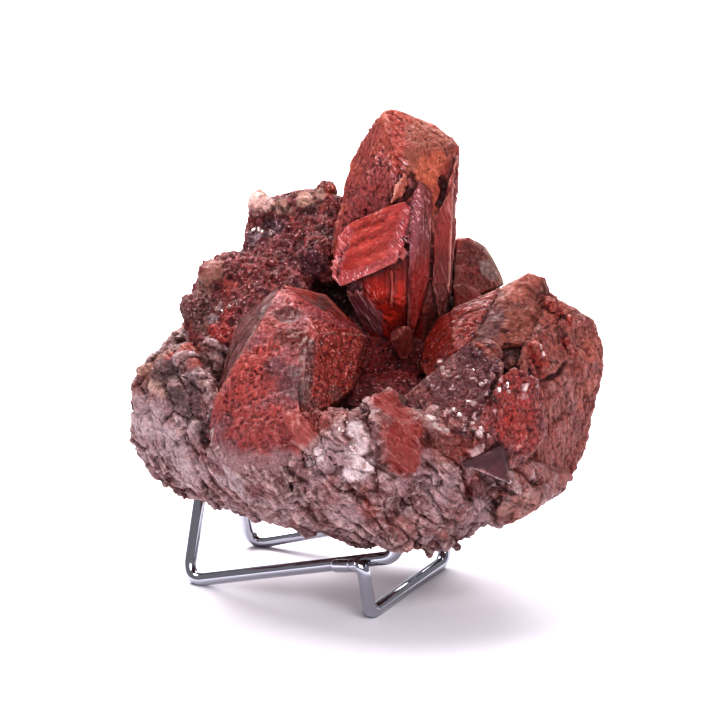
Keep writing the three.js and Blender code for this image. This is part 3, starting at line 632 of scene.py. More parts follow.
def crystal_skin(name, blocks, voxel, grown=()):
    """Crystals in one closed skin, cut back to their flat faces. Each face is then carved: fine streaks
    along its growth axis, low flat-topped growth steps, and pits."""
    solids = [block(CORNERS[b], CRYSTAL_SHARPNESS) for b in blocks]
    points, faces, edges = wrapped(name, [*solids, *grown], voxel)
    level, normal, margin, owner, face = owners(points, blocks)
    near = 1 - step(0.35, 0.8, np.abs(level) / voxel / 1.5)
    skin = Skin(points - normal * (level * near)[:, None], faces, edges)
    skin.margin, skin.plane = margin, normal
    skin.of = {b: owner == number for number, b in enumerate(blocks)}
    points = skin.points
    height = np.zeros(len(points))
    worn = cloud(points, 1.6, 7, 3)
    drift = step(-0.25, 0.35, cloud(points, 6, 11, 3))
    for b in blocks:
        finish = FINISHES[b]
        own = skin.of[b]
        p = points[own] + face[own, None] * FACE_SHIFT
        lines = cloud(streaked(p, finish.axis, 0.8, 9), 1, 5, 2)
        plates = cloud(streaked(p, finish.axis, 5, 14), 1, 13, 3)
        height[own] += finish.streak * lines * 1.6
        height[own] += finish.steps * (np.floor(plates * 5) / 5 + 0.2)
        height[own] -= finish.pits * step(0.25, 0.55, worn[own])
        skin.colours[own] = linear(finish.base)
        skin.gloss[own] = finish.gloss
        skin.sugar[own] = finish.sugar
        skin.glint[own] = finish.glint
        skin.silk[own] = streaked(p, finish.axis, 0.45, 7)
        skin.lay(drift * own, finish.drift)
    height -= 0.2 * (1 - step(0.05, 0.6, margin + 0.35 * worn))
    skin.lift(height * near)
    skin.place = skin.points
    return skin


# ---- Materials -----------------------------------------------------------------------------------

GYPSUM_IOR = 1.52


def colour(hex_colour):
    """A linear colour with full alpha, as a node takes it."""
    return (*linear(hex_colour), 1)


def new_tree(name):
    """A material with an empty node tree."""
    material = bpy.data.materials.new(name)
    material.use_nodes = True
    material.node_tree.nodes.clear()
    return material, material.node_tree


def node(tree, kind, inputs=None, **settings):
    """Adds a node. inputs gives its sockets, by name or number, a value or another node's output."""
    made = tree.nodes.new("ShaderNode" + kind)
    for setting, value in settings.items():
        setattr(made, setting, value)
    for socket, value in (inputs or {}).items():
        if isinstance(value, bpy.types.NodeSocket):
            tree.links.new(value, made.inputs[socket])
        else:
            made.inputs[socket].default_value = value
    return made


def attribute(tree, name, kind="Fac"):
    """What each point of a skin carries under a name."""
    return node(tree, "Attribute", attribute_name=name).outputs[kind]


def worked(tree, operation, a, b):
    """Two values multiplied, added, or the greater of them."""
    return node(tree, "Math", {0: a, 1: b}, operation=operation).outputs[0]


def ranged(tree, value, low, high, to_low=0.0, to_high=1.0):
    """A value carried from the range low to high onto another range, and held inside it."""
    return node(tree, "MapRange", {
        "Value": value, "From Min": low, "From Max": high, "To Min": to_low, "To Max": to_high,
    }).outputs[0]


def noise(tree, place, scale, detail, roughness=0.5):
    """Smooth noise from 0 to 1, scale lumps to a metre."""
    return node(tree, "TexNoise", {
        "Vector": place, "Scale": scale, "Detail": detail, "Roughness": roughness,
    }).outputs["Fac"]


def surface(tree, inputs, inside=None, **settings):
    """Ends a tree with a principled surface and, where light goes through, what fills the inside."""
    ends = {"Surface": node(tree, "BsdfPrincipled", inputs, **settings).outputs[0]}
    if inside:
        ends["Volume"] = inside.outputs[0]
    node(tree, "OutputMaterial", ends)


def gypsum(name, grain, subsurface, specular):
    """Gypsum stained by iron oxide: a soft clear mineral, so light sinks in and its faces are waxy to
    glassy, with silky streaks along the crystal. Where it is sugary, each grain of grain mm has a facet of
    its own, tilted at random, and a few of them are painted white as glints; the crests of silky streaks
    take painted glints too."""
    material, tree = new_tree(name)
    place = node(tree, "TexCoord").outputs["Object"]
    gloss, sugar, glint = (attribute(tree, share) for share in ("gloss", "sugar", "glint"))

    cells = node(tree, "TexVoronoi", {"Vector": place, "Scale": 1 / (grain * MM), "Randomness": 1.0})
    away = node(tree, "VectorMath", {0: place, 1: cells.outputs["Position"]}, operation="SUBTRACT")
    lean = node(tree, "VectorMath", {0: cells.outputs["Color"], 1: (0.5, 0.5, 0.5)}, operation="SUBTRACT")
    facet = node(tree, "VectorMath", {0: away.outputs[0], 1: lean.outputs[0]}, operation="DOT_PRODUCT")
    facet = worked(tree, "MULTIPLY", facet.outputs["Value"], sugar)
    chance = node(tree, "SeparateColor", {"Color": cells.outputs["Color"]}).outputs["Red"]

    streaks = noise(tree, attribute(tree, "silk", "Vector"), 1.0, 2.0, 0.6)
    powder = noise(tree, place, 1700.0, 4.0, 0.65)
    fine = worked(tree, "ADD", streaks, powder)

    # Each grain, streak and patch of powder is a little lighter or darker than the stain
    shade = ranged(tree, chance, 0, 1, 0.7, 1.28)
    grainy = node(tree, "Mix", {"Factor": sugar, "A": 1.0, "B": shade}).outputs["Result"]
    both = worked(tree, "MULTIPLY", grainy, ranged(tree, fine, 0.65, 1.35, 0.6, 1.35))
    tinted = node(tree, "VectorMath", {0: attribute(tree, "stain", "Color"), "Scale": both},
                  operation="SCALE")

    # Painted glints: single grains, and the crests of silky streaks where the skin glints, are painted pale
    # and made smooth
    spark = node(tree, "TexVoronoi", {"Vector": place, "Scale": 2700.0, "Randomness": 1.0})
    spark = node(tree, "SeparateColor", {"Color": spark.outputs["Color"]}).outputs["Green"]
    spark = worked(tree, "MULTIPLY", ranged(tree, spark, 0.965, 0.985),
                   ranged(tree, sugar, 0.35, 1, 0, 0.6))
    crest = worked(tree, "MULTIPLY", ranged(tree, streaks, 0.56, 0.66), glint)
    flash = worked(tree, "MAXIMUM", spark, crest)
    pale = node(tree, "Mix", {"Factor": flash, "A": tinted.outputs[0], "B": colour("#d2aeb0")},
                data_type="RGBA")
    rough = node(tree, "Mix", {"Factor": flash, "A": ranged(tree, gloss, 0, 1, 0.62, 0.16), "B": 0.15})

    relief = node(tree, "Bump", {"Height": facet, "Strength": 0.75, "Distance": 1.3})
    relief = node(tree, "Bump", {
        "Height": fine, "Strength": 0.6, "Distance": 0.0002, "Normal": relief.outputs[0],
    })
    surface(tree, {
        "Base Color": pale.outputs["Result"], "Roughness": rough.outputs["Result"], "IOR": GYPSUM_IOR,
        "Specular IOR Level": specular, "Normal": relief.outputs[0], "Subsurface Weight": subsurface,
        "Subsurface Radius": (1.0, 0.32, 0.22), "Subsurface Scale": 0.0011,
    }, subsurface_method="RANDOM_WALK")
    return material


def bright_chrome():
    """Bright chrome plate on polished steel wire: a mirror with a faint blue cast and a slight haze."""
    material, tree = new_tree("bright chrome plate")
    haze = noise(tree, node(tree, "TexCoord").outputs["Object"], 900.0, 2.0)
    surface(tree, {
        "Base Color": colour("#b2b2ba"), "Metallic": 1.0, "Roughness": ranged(tree, haze, 0, 1, 0.05, 0.12),
    })
    return material


def clear_selenite():
    """Clear selenite, as it grew: flat glassy faces that light passes through, a little pink inside, with
    silky haze in places."""
    material, tree = new_tree("clear selenite")
    haze = noise(tree, node(tree, "TexCoord").outputs["Object"], 1 / (0.8 * MM), 2.0)
    inside = node(tree, "VolumeAbsorption", {"Color": colour("#e6a8a0"), "Density": 260.0})
    surface(tree, {
        "Base Color": colour("#cfa6a1"), "Roughness": ranged(tree, haze, 0.35, 0.65, 0.15, 0.5),
        "IOR": GYPSUM_IOR, "Transmission Weight": 0.6,
    }, inside)
    return material


# ---- The long crystal ----------------------------------------------------------------------------

HATCH = (0.62, 0.1, -0.78)
RECESS_COMB = (0.5, 0.25, -0.83)


def ribs(random, path, spread, spacing, size, along, normal):
    """Slender rods lying side by side across a path, each along the same direction."""
    path = np.array(path, float)
    run = run_along(path)
    count = int(run[-1] / spacing)
    place = np.sort(random.uniform(0, run[-1], count))
    centres = np.stack([np.interp(place, run, path[:, k]) for k in range(3)], 1)
    centres += np.array(along) * random.uniform(-spread, spread, (count, 1))
    return crystal_flakes(centres, np.tile(normal, (count, 1)), random, size, 0.1,
                          np.tile(along, (count, 1)))


def tall_crystal(settings):
    """The long blade that stands up in the middle: six blocks grown together, a pale splinter on its front,
    ribs down the right edge of its front plate, and needles where it leaves the druse."""
    random = np.random.default_rng(settings.seed)
    blocks = ["tall_body", "tall_plate", "tall_blade", "tall_edge", "tall_slab", "tall_foot"]
    grown = [
        block([(8.2, -7.2, 105), (9.6, -6.4, 105.4), (8.6, -7.6, 101), (6.2, -7.6, 98), (5.0, -7.6, 97.4),
               (5.2, -5, 97.6), (7.4, -4, 98.4), (8.8, -4, 104), (6.6, -8.0, 102)], CRYSTAL_SHARPNESS),
    ]
    for path, spread, spacing, size in (
            ([(10.2, -8.3, 96.5), (8.6, -9.5, 91), (7.4, -9.8, 85.5)], 1, 0.35, (3.2, 0.5, 0.5)),
            ([(-5.4, -8.6, 90), (-8.2, -8.4, 82), (-7.6, -8.6, 79)], 0.8, 0.5, (2.6, 0.5, 0.5)),
            ([(-7, -8.6, 78.4), (-1.5, -9.8, 81), (5.5, -10.2, 84)], 0.5, 0.5, (2, 0.5, 0.5))):
        grown.append(ribs(random, path, spread, spacing, size, HATCH, (0, -1, 0)))
    for path in ([(-3.6, -0.6, 71), (1.6, -3.2, 72)], [(-1, 0.6, 66), (4, -1.6, 66.5)]):
        grown.append(ribs(random, path, 3.5, 0.1, (5, 0.5, 0.6), RECESS_COMB, (-0.2, -1, -0.5)))
    skin = crystal_skin("tall_crystal", blocks, settings.fine_skin / MM, grown)
    p = skin.place
    front = skin.normals[:, 1] < -0.15

    # The worn middle of the left face, below the smooth facet under the tip
    splinter = skin.along([(9, -7, 105), (7.8, -7.6, 101.4), (5.6, -7.8, 97.8)], 1.0, 0.2)
    cracked = skin.spots([(1, -3, 104, 6), (-2, -3, 98, 8), (5, -6, 101, 6), (-4, -2, 92, 6),
                          (2, -5, 96, 6)])
    cracked *= 1 - splinter
    height = cracked * (chips(p, 2.4, 0.2, 0.4, 3) + chips(streaked(p, HATCH, 1, 2), 1.2, 0.2, 0.2, 5))
    skin.sugar += cracked * 0.25
    skin.lay(cracked * 0.8, "#863b3e")
    skin.mottle(cracked, 2.5, 19, 0.1, 0.5, "#974541")

    # The ridge under the tip, stepped across
    ridge = skin.along([(6.4, 2.4, 117.2), (7.4, -0.8, 114), (7.2, -5.6, 110), (8, -7, 106)], 2.6)
    rung = p[:, 2] * 0.55 + 0.25 * p[:, 0] + 0.5 * cloud(p, 3, 23)
    height += ridge * 0.5 * (rung - np.floor(rung) - 0.5)
    skin.lay(ridge * 0.9, "#aa4e42")
    skin.lay(ridge * step(0.7, 1.0, rung - np.floor(rung)), "#832a26")
    facing = front * skin.spots([(3, -3.4, 108.6, 3.4), (6.6, -5.6, 107, 3), (7.5, -6.4, 104, 2.4)])
    skin.comb(np.maximum(ridge, facing), (0.6, 0.3, -0.7), 0.5, 5)
    skin.glint += ridge * 0.25 + facing * 0.45

    # Growth bands of the front plate, parallel to its upper edge
    plate = skin.of["tall_plate"] & front
    across = p @ unit(np.array([0.36, 0, -0.933]))
    band = across / 3.1 + 0.35 * cloud(p, 6, 29, 2)
    rise = 0.5 - 0.5 * np.cos(2 * np.pi * band)
    middle = plate * skin.spots([(-2, -10, 89, 7), (3, -10, 87, 7), (3, -10, 93, 6)])
    height += middle * 0.22 * rise + plate * (
        0.2 * cloud(p, 1.6, 30, 2) + 0.25 * np.floor(3 * cloud(p, 5, 32)) / 3)
    skin.lay(middle * (1 - rise) * 0.75, "#8c2a20")
    skin.lay(middle * rise * 0.35, "#c0584c")
    # Needles along the plate's edges: pale mauve that is partly painted glint, with painted glints along
    # their streaks
    hatched = plate * np.maximum(
        skin.along([(10.2, -8.3, 97), (8.6, -9.5, 91), (7.0, -10.6, 85)], 3.6),
        skin.along([(-5.4, -8.6, 91), (-8.4, -8.4, 82), (-7.6, -8.6, 79), (-1.5, -10.8, 81),
                    (4.5, -11, 83.6)], 2.4))
    skin.comb(hatched, HATCH, 0.4, 5)
    skin.glint += hatched * 0.9
    skin.lay(hatched * 0.4, "#b0646a")

    # The narrow blade beside it, its glinting front and its dark foot
    blade = skin.of["tall_blade"]
    low = 1 - step(80, 90, p[:, 2])
    skin.lay(blade * low, "#7e1b12")
    skin.lay(blade * (p[:, 0] < 10.2) * 0.7, "#5e2226")
    left = blade * (1 - step(11.6, 13.2, p[:, 0] + 0.12 * (95 - p[:, 2]))) * (1 - low)
    skin.lay(left * 0.8, "#8d4a52")
    skin.comb(left, HATCH, 0.4, 4)
    skin.glint += left * 0.5 - blade * low * 0.2

    # Broad growth steps and sugary patches on the sides and the back
    behind = np.maximum(step(0.1, 0.5, skin.normals[:, 1]), step(0.6, 0.9, np.abs(skin.normals[:, 0])))
    behind *= skin.of["tall_body"] | skin.of["tall_edge"]
    height += behind * (chips(streaked(p, TALL_AXIS, 1, 3), 5, 0.06, 0.9, 25) + 0.3 * cloud(p, 1.4, 26, 2))
    patchy = behind * step(0.05, 0.3, cloud(p, 9, 27, 2))
    height += patchy * chips(p, 1.4, 0.3, 0.3, 28)
    skin.sugar += patchy * 0.5
    skin.lay(patchy * 0.8, "#7f3d3c")

    # The glassy recess under the plate, split by a pale ridge
    recess = skin.of["tall_body"] & (p[:, 2] < 84) & (p[:, 1] < 3) & (p[:, 0] < 13)
    skin.gloss[recess] = 0.8
    skin.sugar[recess] = 0.1
    height *= np.where(recess, 0.4, 1)
    skin.lay(recess * 0.95, "#8a1c12")
    skin.lay(recess * skin.spots([(1.5, -4, 76, 4), (9.5, -6, 76, 4), (3.5, -4, 70, 4)]), "#b02c18")
    pale = skin.along([(5.6, -6, 81), (5.9, -6, 76), (5.4, -4.5, 70), (5.0, -3.5, 65)], 0.6)
    height += pale * 0.6
    skin.lay(pale * 0.7, "#9c4a42")
    comb = (p[:, 2] < 77.5) * (p[:, 0] < 3.5) * (p[:, 1] < 0) * 1.0
    skin.comb(comb, RECESS_COMB, 0.45, 8)
    skin.lay(comb * step(76, 72, p[:, 2] + 1.3 * p[:, 0]), "#70383f")
    skin.glint += comb * 0.3

    # Deep shade where the right side runs down into the druse
    deep = step(88, 72, p[:, 2] - 0.6 * p[:, 0] + 10) * step(12.6, 14.6, p[:, 0]) * (p[:, 1] < 4)
    skin.lay(deep * 0.85, "#4d1516")

    # The short foot crystal: dark glass with pale edges, painted shade on its faces that do not face up,
    # and a pale forked line down its front
    foot = skin.of["tall_foot"]
    fork = np.maximum(skin.along([(7.2, -10.4, 67.6), (8.4, -10.8, 65.4), (8.2, -10, 60.6)], 0.4, 0.3),
                      skin.along([(10.2, -10.6, 67.2), (8.4, -10.8, 65.4)], 0.4, 0.3))

    # Cracks and clefts, carved in and painted dark as shade with pale and near-black flecks, and the
    # splinter
    speck = grains(p, 0.9, 62)[1][:, 0]
    for path, width, depth in (
            ([(3.4, 1.6, 116.3), (4.9, -1, 114.6), (5.3, -3, 112.6), (4.8, -4.6, 110)], 0.45, 0.5),
            ([(13.5, 1.2, 115.2), (16, 1, 113), (18.2, 0.4, 110), (19.8, -1.2, 106.5)], 0.4, 0.5),
            ([(10.4, -6.4, 104.4), (10.8, -6.6, 102.4), (9.4, -6.8, 100), (8, -7, 98.2)], 1.2, 1.0),
            ([(17.8, -3, 102.4), (18, -4, 99.6), (17, -5.2, 97)], 1.7, 1.2),
            ([(16.6, -5.6, 96), (15.3, -6.6, 91.5), (15.0, -6.6, 80)], 0.7, 1.0)):
        cleft = step(0.2, 0.8, skin.along(path, width, 1.0) * (0.85 + 0.6 * cloud(p, 0.8, 63, 2)))
        height -= cleft * depth * (0.7 + 0.5 * cloud(p, 1.4, 61))
        # Painted shade in the cleft
        skin.lay(cleft * 0.75, "#541a1b" if width < 1 else "#4f1c1e")
        skin.lay(cleft * (speck > 0.55) * 0.6, "#7c4a4c")
        skin.lay(cleft * (speck < 0.3) * 0.7, "#2a0d10")
        skin.glint -= cleft
    skin.lay(splinter, "#98503f")
    edge = skin.along([(8.2, -7.2, 105), (6.8, -7.8, 102.2), (5.1, -7.8, 97.6)], 0.5, 0.5)
    skin.lay(edge * 0.8, "#cf9c8c")
    slab_edge = skin.along([(19.6, -5.6, 102), (15.6, -7.2, 94.2), (15.2, -7.3, 86)], 0.45, 0.3)
    skin.lay(slab_edge * 0.6, "#b06a60")

    skin.lift(height)
    skin.stain([
        ("#87423e", 0.7, 0.5, [(0, 1, 113, 5), (-2, 1, 109, 5)]),
        ("#a8635a", 0.65, 0.5, [(21, -1, 107.4, 3), (20.5, -4, 102, 3), (20.3, -5.5, 96.5, 3)]),
        ("#8f5446", 0.8, 0.5, [(13, 0, 113, 6), (18, 1, 112, 5), (11, -5, 108, 4), (20, 2, 106, 3)]),
        # A soft orange patch near the top: painted glow of light through the crystal
        ("#ae6048", 0.8, 0.5, [(14, -4.4, 105, 4), (17, -2, 107.4, 2.6)]),
        ("#843f37", 0.8, 0.5, [(12.5, -5, 101, 2.2)]),
        ("#7c443e", 0.7, 0.5, [(20.5, 1, 111.5, 2.4)]),
    ])
    # Painted shade and iron oxide darken the hollows; the ridges are worn pale
    skin.shade_oxide_and_wear("#3f1213", "#c98579", 0.6, 0.3)
    # Painted shade on the foot crystal's faces that do not face up, away from their edges
    skin.lay(foot * (skin.plane[:, 2] < 0.6) * step(0.04, 0.2, skin.margin) * 0.85, "#581613")
    skin.lay(foot * fork * 0.6, "#a8685e")
    skin.lay(skin.along([(21.6, -1, 109), (20.3, -7, 92.5), (19.8, -7, 76.5)], 0.9, 0.5) * 0.65, "#cf9a8e")
    return skin.finish("tall_crystal", gypsum("stained selenite, long crystal", 0.6, 0.2, 0.3))


# ---- The left crystal ----------------------------------------------------------------------------


def left_crystal(settings):
    """The stout crystal at the front left: a red face, a glassy scoop and window near its tip, a clear
    bevelled strip along its left edge, and a dark plate behind it."""
    skin = crystal_skin("left_crystal", ["left_block", "left_bevel", "left_plate"], settings.fine_skin / MM,
                        [block([(-35.5, -25, 54.5), (-31.5, -26.8, 57), (-24, -28.8, 58),
                                (-16.6, -30, 59.5), (-36, -31, 48.5), (-30, -34.6, 49), (-23, -36.8, 49.5),
                                (-15.4, -37.8, 51.5), (-37, -31.6, 44), (-30, -36.8, 44), (-22, -39, 44.5),
                                (-15, -40.4, 45.6), (-35, -31, 39.5), (-29, -35.4, 38.6), (-21, -38, 38.6),
                                (-15.6, -39.2, 39), (-30, -22, 47), (-16, -26, 50)], SADDLE_SHARPNESS)])
    p = skin.place
    body = skin.of["left_block"]
    height = body * 0.22 * cloud(p, 1.1, 33, 2)

    # Powder and bumps on the front face; coarse sugar on the right face
    powder = body * skin.spots([(-27, -26, 61, 6), (-31, -29, 55, 7), (-24, -23, 66, 4), (-24, -31, 53, 7),
                                (-31, -34, 47, 7), (-25, -36, 49, 7), (-19, -37, 51, 6)])
    height += powder * (0.5 * np.abs(cloud(p, 2.2, 35, 2)) + chips(p, 1.2, 0.3, 0.25, 9))
    skin.lay(powder * 0.85, "#8f3b37")
    skin.mottle(powder, 3.2, 37, 0, 0.4, "#83494d", 2)
    right = body & (skin.plane[:, 0] > 0.5)
    height += right * chips(p, 0.9, 0.3, 0.15, 11)
    skin.lay(right * 0.9, "#8c332b")
    skin.mottle(right * 0.8, 1.4, 39, 0.1, 0.5, "#96443f")
    skin.sugar[right] = 1
    skin.gloss[right] = 0.5

    # The shell-shaped scoop under the tip, and the clear window below it
    centre = np.linalg.norm((p - (-19.2, -14.4, 72.2)) / (1.1, 1.0, 0.8), axis=1) / 3.2
    centre += 0.3 * cloud(p, 2.6, 45, 2)
    scoop = body * (centre < 1)
    height -= scoop * (0.7 * (1 - centre**2) + 0.1 * np.sin(centre * 11))
    skin.lay(scoop * 0.9, "#6e3436")
    rim = body * (1 - step(0.02, 0.13, np.abs(centre - 1))) * step(72.4, 71.2, p[:, 2])
    skin.lay(rim * 0.4, "#b87c76")
    window = body * skin.spots([(-16.6, -21, 68.2, 3.8), (-19.5, -20.5, 68.5, 3.0)])
    height += window * chips(p, 1.2, 0.25, 0.15, 13)
    skin.lay(window * 0.95, "#6d2112")
    # Pale flecks in the window: painted glints
    skin.mottle(window * 0.4, 0.7, 43, 0.5, 0.65, "#b07058")
    for share in (scoop, window):
        skin.gloss[share > 0.5] = 0.55
        skin.sugar[share > 0.5] = 0.15
    # Painted pink glints along the ridge under the tip
    bright = skin.spots([(-20.4, -8.5, 76, 2.0), (-17.6, -11, 74.6, 2.0), (-14.6, -15.6, 71.8, 1.6),
                         (-13, -18.6, 69.4, 1.0)])
    skin.mottle(bright * 0.6, 0.8, 49, 0, 0.4, "#b98583")
    skin.gloss += bright * 0.2

    # The clear grey band down the edge between both faces
    band = skin.along([(-14.2, -22, 66.6), (-14.6, -27, 62.5), (-15.6, -31, 56)], 2.6)
    skin.lay(band * 0.85, "#6c4646")
    skin.mottle(band * 0.7, 1.5, 47, 0.1, 0.5, "#8b6f6b")
    skin.gloss += band * 0.3
    skin.sugar -= band * 0.3

    # Thin pale lines where faces meet, the first of them a painted highlight along the ridge from the tip
    bevel = skin.of["left_bevel"]
    bands = cloud(streaked(p, (-0.62, -0.25, -0.75), 1.1, 14), 1, 48)
    skin.lay(bevel * step(0.0, 0.4, bands) * 0.5, "#75474a")
    skin.lay(bevel * step(0.1, 0.5, -bands) * 0.6, "#391a19")
    plate = skin.of["left_plate"]
    skin.lay(plate * skin.along([(-21, -4, 77.5), (-10, -4, 75), (-5.5, -4.4, 69)], 1.0, 0.2) * 0.7,
             "#99483c")
    skin.lay(plate * skin.spots([(-9, -7.5, 68.6, 4), (-4, -6.5, 66.6, 4)]), "#771c12")
    for path in ([(-21, -6, 77.6), (-17, -12, 74.4), (-12.4, -18.6, 69.4)],
                 [(-22, -9.2, 75.6), (-28, -19, 67), (-33.4, -25, 59), (-36.4, -27.4, 53)],
                 [(-31.5, -7, 69.5), (-34.3, -16, 59.5), (-38.3, -22, 47)],
                 [(-12, -19, 69), (-0.8, -8.6, 66)]):
        skin.lay(skin.along(path, 0.5, 0.3) * 0.6, "#b9857c")

    skin.lift(height)
    skin.stain([
        ("#5f3238", 0.75, 0.5, [(-22, -26.6, 62.4, 3.2), (-18.6, -29.4, 59, 3.6), (-33, -30, 50, 3)]),
        ("#5c4244", 0.7, 0.6, [(-16.5, -31, 57, 2.8), (-17.5, -27.6, 61.5, 2.2)]),
        ("#a6443a", 0.55, 0.35, [(-27, -25.5, 63.4, 2.6), (-29.4, -24.6, 63, 3.2), (-25, -23.4, 65.4, 2.2),
                                 (-25.5, -29.6, 57, 3.0), (-22, -33, 53.5, 2.6), (-30, -28.5, 57.5, 2.4)]),
        ("#8c3f3c", 0.7, 0.5, [(-22, -17, 70.5, 3)]),
        ("#7d5450", 0.6, 0.5, [(-8, -25, 55.5, 3), (-13, -31, 54, 3)]),
        ("#883939", 0.7, 0.35, [(-30, -35, 47, 5), (-24, -37, 48.6, 5), (-18, -37, 51, 6)]),
        ("#7d5357", 0.8, 0.4, [(-36, -30, 47, 4.4), (-33, -35, 44, 4)]),
        ("#7a2f30", 0.7, 0.3, [(-20, -36, 50, 2.2), (-24.6, -35, 50.6, 1.6)]),
    ])
    # Painted shade and iron oxide darken the hollows; the ridges are worn pale
    skin.shade_oxide_and_wear("#3f1315", "#bd7a70", 0.5, 0.2)
    skin.lay(scoop * 0.75, "#5f2c2a")
    skin.mottle(window * 0.9, 0.9, 44, -0.5, 0.1, "#5a1610")
    flow = (p[:, 1] < -29) * step(46.5, 43.5, p[:, 2] + 1.5 * cloud(p, 3, 90, 2))
    skin.lay(flow * 0.85, "#8c6d6e")
    skin.mottle(flow * 0.6, 1.6, 91, 0.1, 0.4, "#6b3c3a", 2)
    return skin.finish("left_crystal", gypsum("stained selenite, left crystal", 0.55, 0.2, 0.32))


# ---- The right crystals --------------------------------------------------------------------------


def right_crystals(settings):
    """The mass of crystals on the right: striped prism, brown top, ribbed right face, a dark face full of
    glitter towards the front, and round red nubs."""
    random = np.random.default_rng(settings.seed + 1)
    blocks = ["right_prism", "right_top", "right_block", "right_glitter", "right_peak", "plum_facet",
              "right_foot", "rear_right_crystal", "rear_right_chip"]
    nubs = [((39.6, -16.4, 63.6), 2.2), ((40.4, -16, 60.6), 2.5), ((38.6, -17.4, 58.4), 1.6),
            ((43.6, -2.6, 71.8), 2.1), ((45.8, -2.4, 70.4), 1.5), ((48.6, -2.4, 67.6), 1.3),
            ((47.6, -6.4, 63.4), 1.6), ((48.6, -6, 61.4), 1.3)]
    grown = [
        *(ball(centre, (size, size * 0.8, size * 1.1)) for centre, size in nubs),
        ball((28, -18.4, 63.4), (3.8, 3, 3.4)),
        ball((34, -12, 61.6), (4.5, 4, 3.6)),
        block([(16, 19, 83.6), (16, 19, 64), (25, 19.4, 84.2), (25, 19, 64), (16, 28, 78), (25, 28, 79),
               (16, 28, 64), (25, 28, 64)], CRYSTAL_SHARPNESS),
        ribs(random, [(20, -10, 71), (25, -9, 71), (30.5, -9, 71)], 2.2, 0.14, (3.6, 0.6, 0.6),
             (0.85, 0.1, 0.5), (-0.2, -0.8, 0.6)),
        crystal_flakes(np.array([(17, -17.6, 60.8), (18.3, -20, 60), (15.6, -24, 59.6), (20.5, -33, 53.6),
                                 (24.6, -36.6, 50.6), (27.6, -36.4, 47.6), (22, -36.4, 51.6),
                                 (30, -33.4, 53.6), (36.6, -29, 58.2), (12.5, -31.4, 54.6)]),
                       np.tile((0.1, -0.8, 0.5), (10, 1)), random, (3.0, 2.2, 1.8), 0.6),
    ]
    skin = crystal_skin("right_crystals", blocks, settings.skin / MM, grown)
    p = skin.place
    of = skin.of

    # Broken chips over the top and the glitter face
    rough = (of["right_glitter"] | of["right_peak"]) * 1.0
    height = rough * (chips(p, 3.4, 0.12, 0.35, 5) + chips(p, 0.9, 0.3, 0.14, 6))
    _, chance, _ = grains(p, 1.2, 8)
    # A few grains are painted pale and made glossy: painted glints
    clear = rough * (chance[:, 1] > 0.9) * step(0.0, 0.3, cloud(p, 3.5, 9, 2))
    skin.lay(rough * (chance[:, 1] < 0.3) * 0.5, "#542b30")
    skin.lay(clear * 0.8, "#d2b2b4")
    skin.gloss[clear > 0.5] = 0.95
    top = of["right_top"] * 1.0
    height += top * (chips(p, 4.5, 0.08, 0.4, 7) + 0.12 * cloud(p, 1.0, 8, 2))

    # The ribbed right face: streaks that run down it, brown and mauve in turn
    side = of["right_block"] * 1.0
    stripes = cloud(streaked(p, RIGHT_AXIS, 0.8, 8), 1, 51, 2)
    worn = step(-0.2, 0.4, cloud(p, 5, 50, 2))
    height += side * (0.14 * stripes * worn + chips(streaked(p, RIGHT_AXIS, 1, 1.6), 4.5, 0.09, 0.6, 9)
                      + chips(p, 1.1, 0.25, 0.16, 10))
    skin.lay(side * step(0.1, 0.6, stripes) * worn * 0.6, "#aa6c5e")
    skin.lay(side * step(0.1, 0.6, -stripes) * 0.4, "#6b302c")
    skin.mottle(side * 0.5, 4, 53, 0.1, 0.5, "#84605f", 2)
    skin.mottle(side * 0.5, 3, 54, 0.2, 0.6, "#8c3c33", 2)
    skin.lay(side * step(50, 36, p[:, 2]) * 0.4, "#7c3833")

    # The front prism: smooth orange-red glass that ends at a saw-toothed step, with silky ribs beyond it
    prism = of["right_prism"] * 1.0
    teeth = np.abs((p[:, 2] * 0.55 + p[:, 0] * 0.2) % 1 * 2 - 1)
    glassy = prism * (1 - step(19.9, 20.4, p[:, 0] + 0.35 * teeth + 0.35 * cloud(p, 1.5, 59))) * (
        p[:, 1] < -6)
    height += 0.25 * (prism - glassy) - 0.15 * glassy
    skin.lay(glassy * 0.8, "#84200f")
    skin.sugar -= glassy * 0.25
    skin.gloss += glassy * 0.2
    ribbed = (prism - glassy) * (p[:, 1] < -4)
    skin.glint += ribbed * 0.35
    ticks = step(0.15, 0.5, cloud(streaked(p, (0.75, 0.1, 0.65), 0.6, 2.4), 1, 60))
    height -= ribbed * ticks * 0.2
    skin.lay(ribbed * step(0.0, 0.5, cloud(streaked(p, (0.7, 0.1, 0.6), 0.9, 5), 1, 52)) * 0.5, "#9a4c46")
    skin.lay(ribbed * ticks * 0.7, "#5a1f1f")
    skin.lay(ribbed * skin.along([(20.4, -17, 65.6), (20.4, -11, 69), (20.4, -8, 70.6)], 0.5, 0.3) * 0.6,
             "#c07a70")

    nub = skin.spots([(*centre, size * 1.5) for centre, size in nubs])
    height += nub * (chips(p, 1.3, 0.4, 0.3, 12) + 0.3 * cloud(p, 1.1, 55))
    skin.lay(nub * 0.9, "#8e3026")
    skin.mottle(nub, 1.5, 57, 0.1, 0.5, "#7a2822")
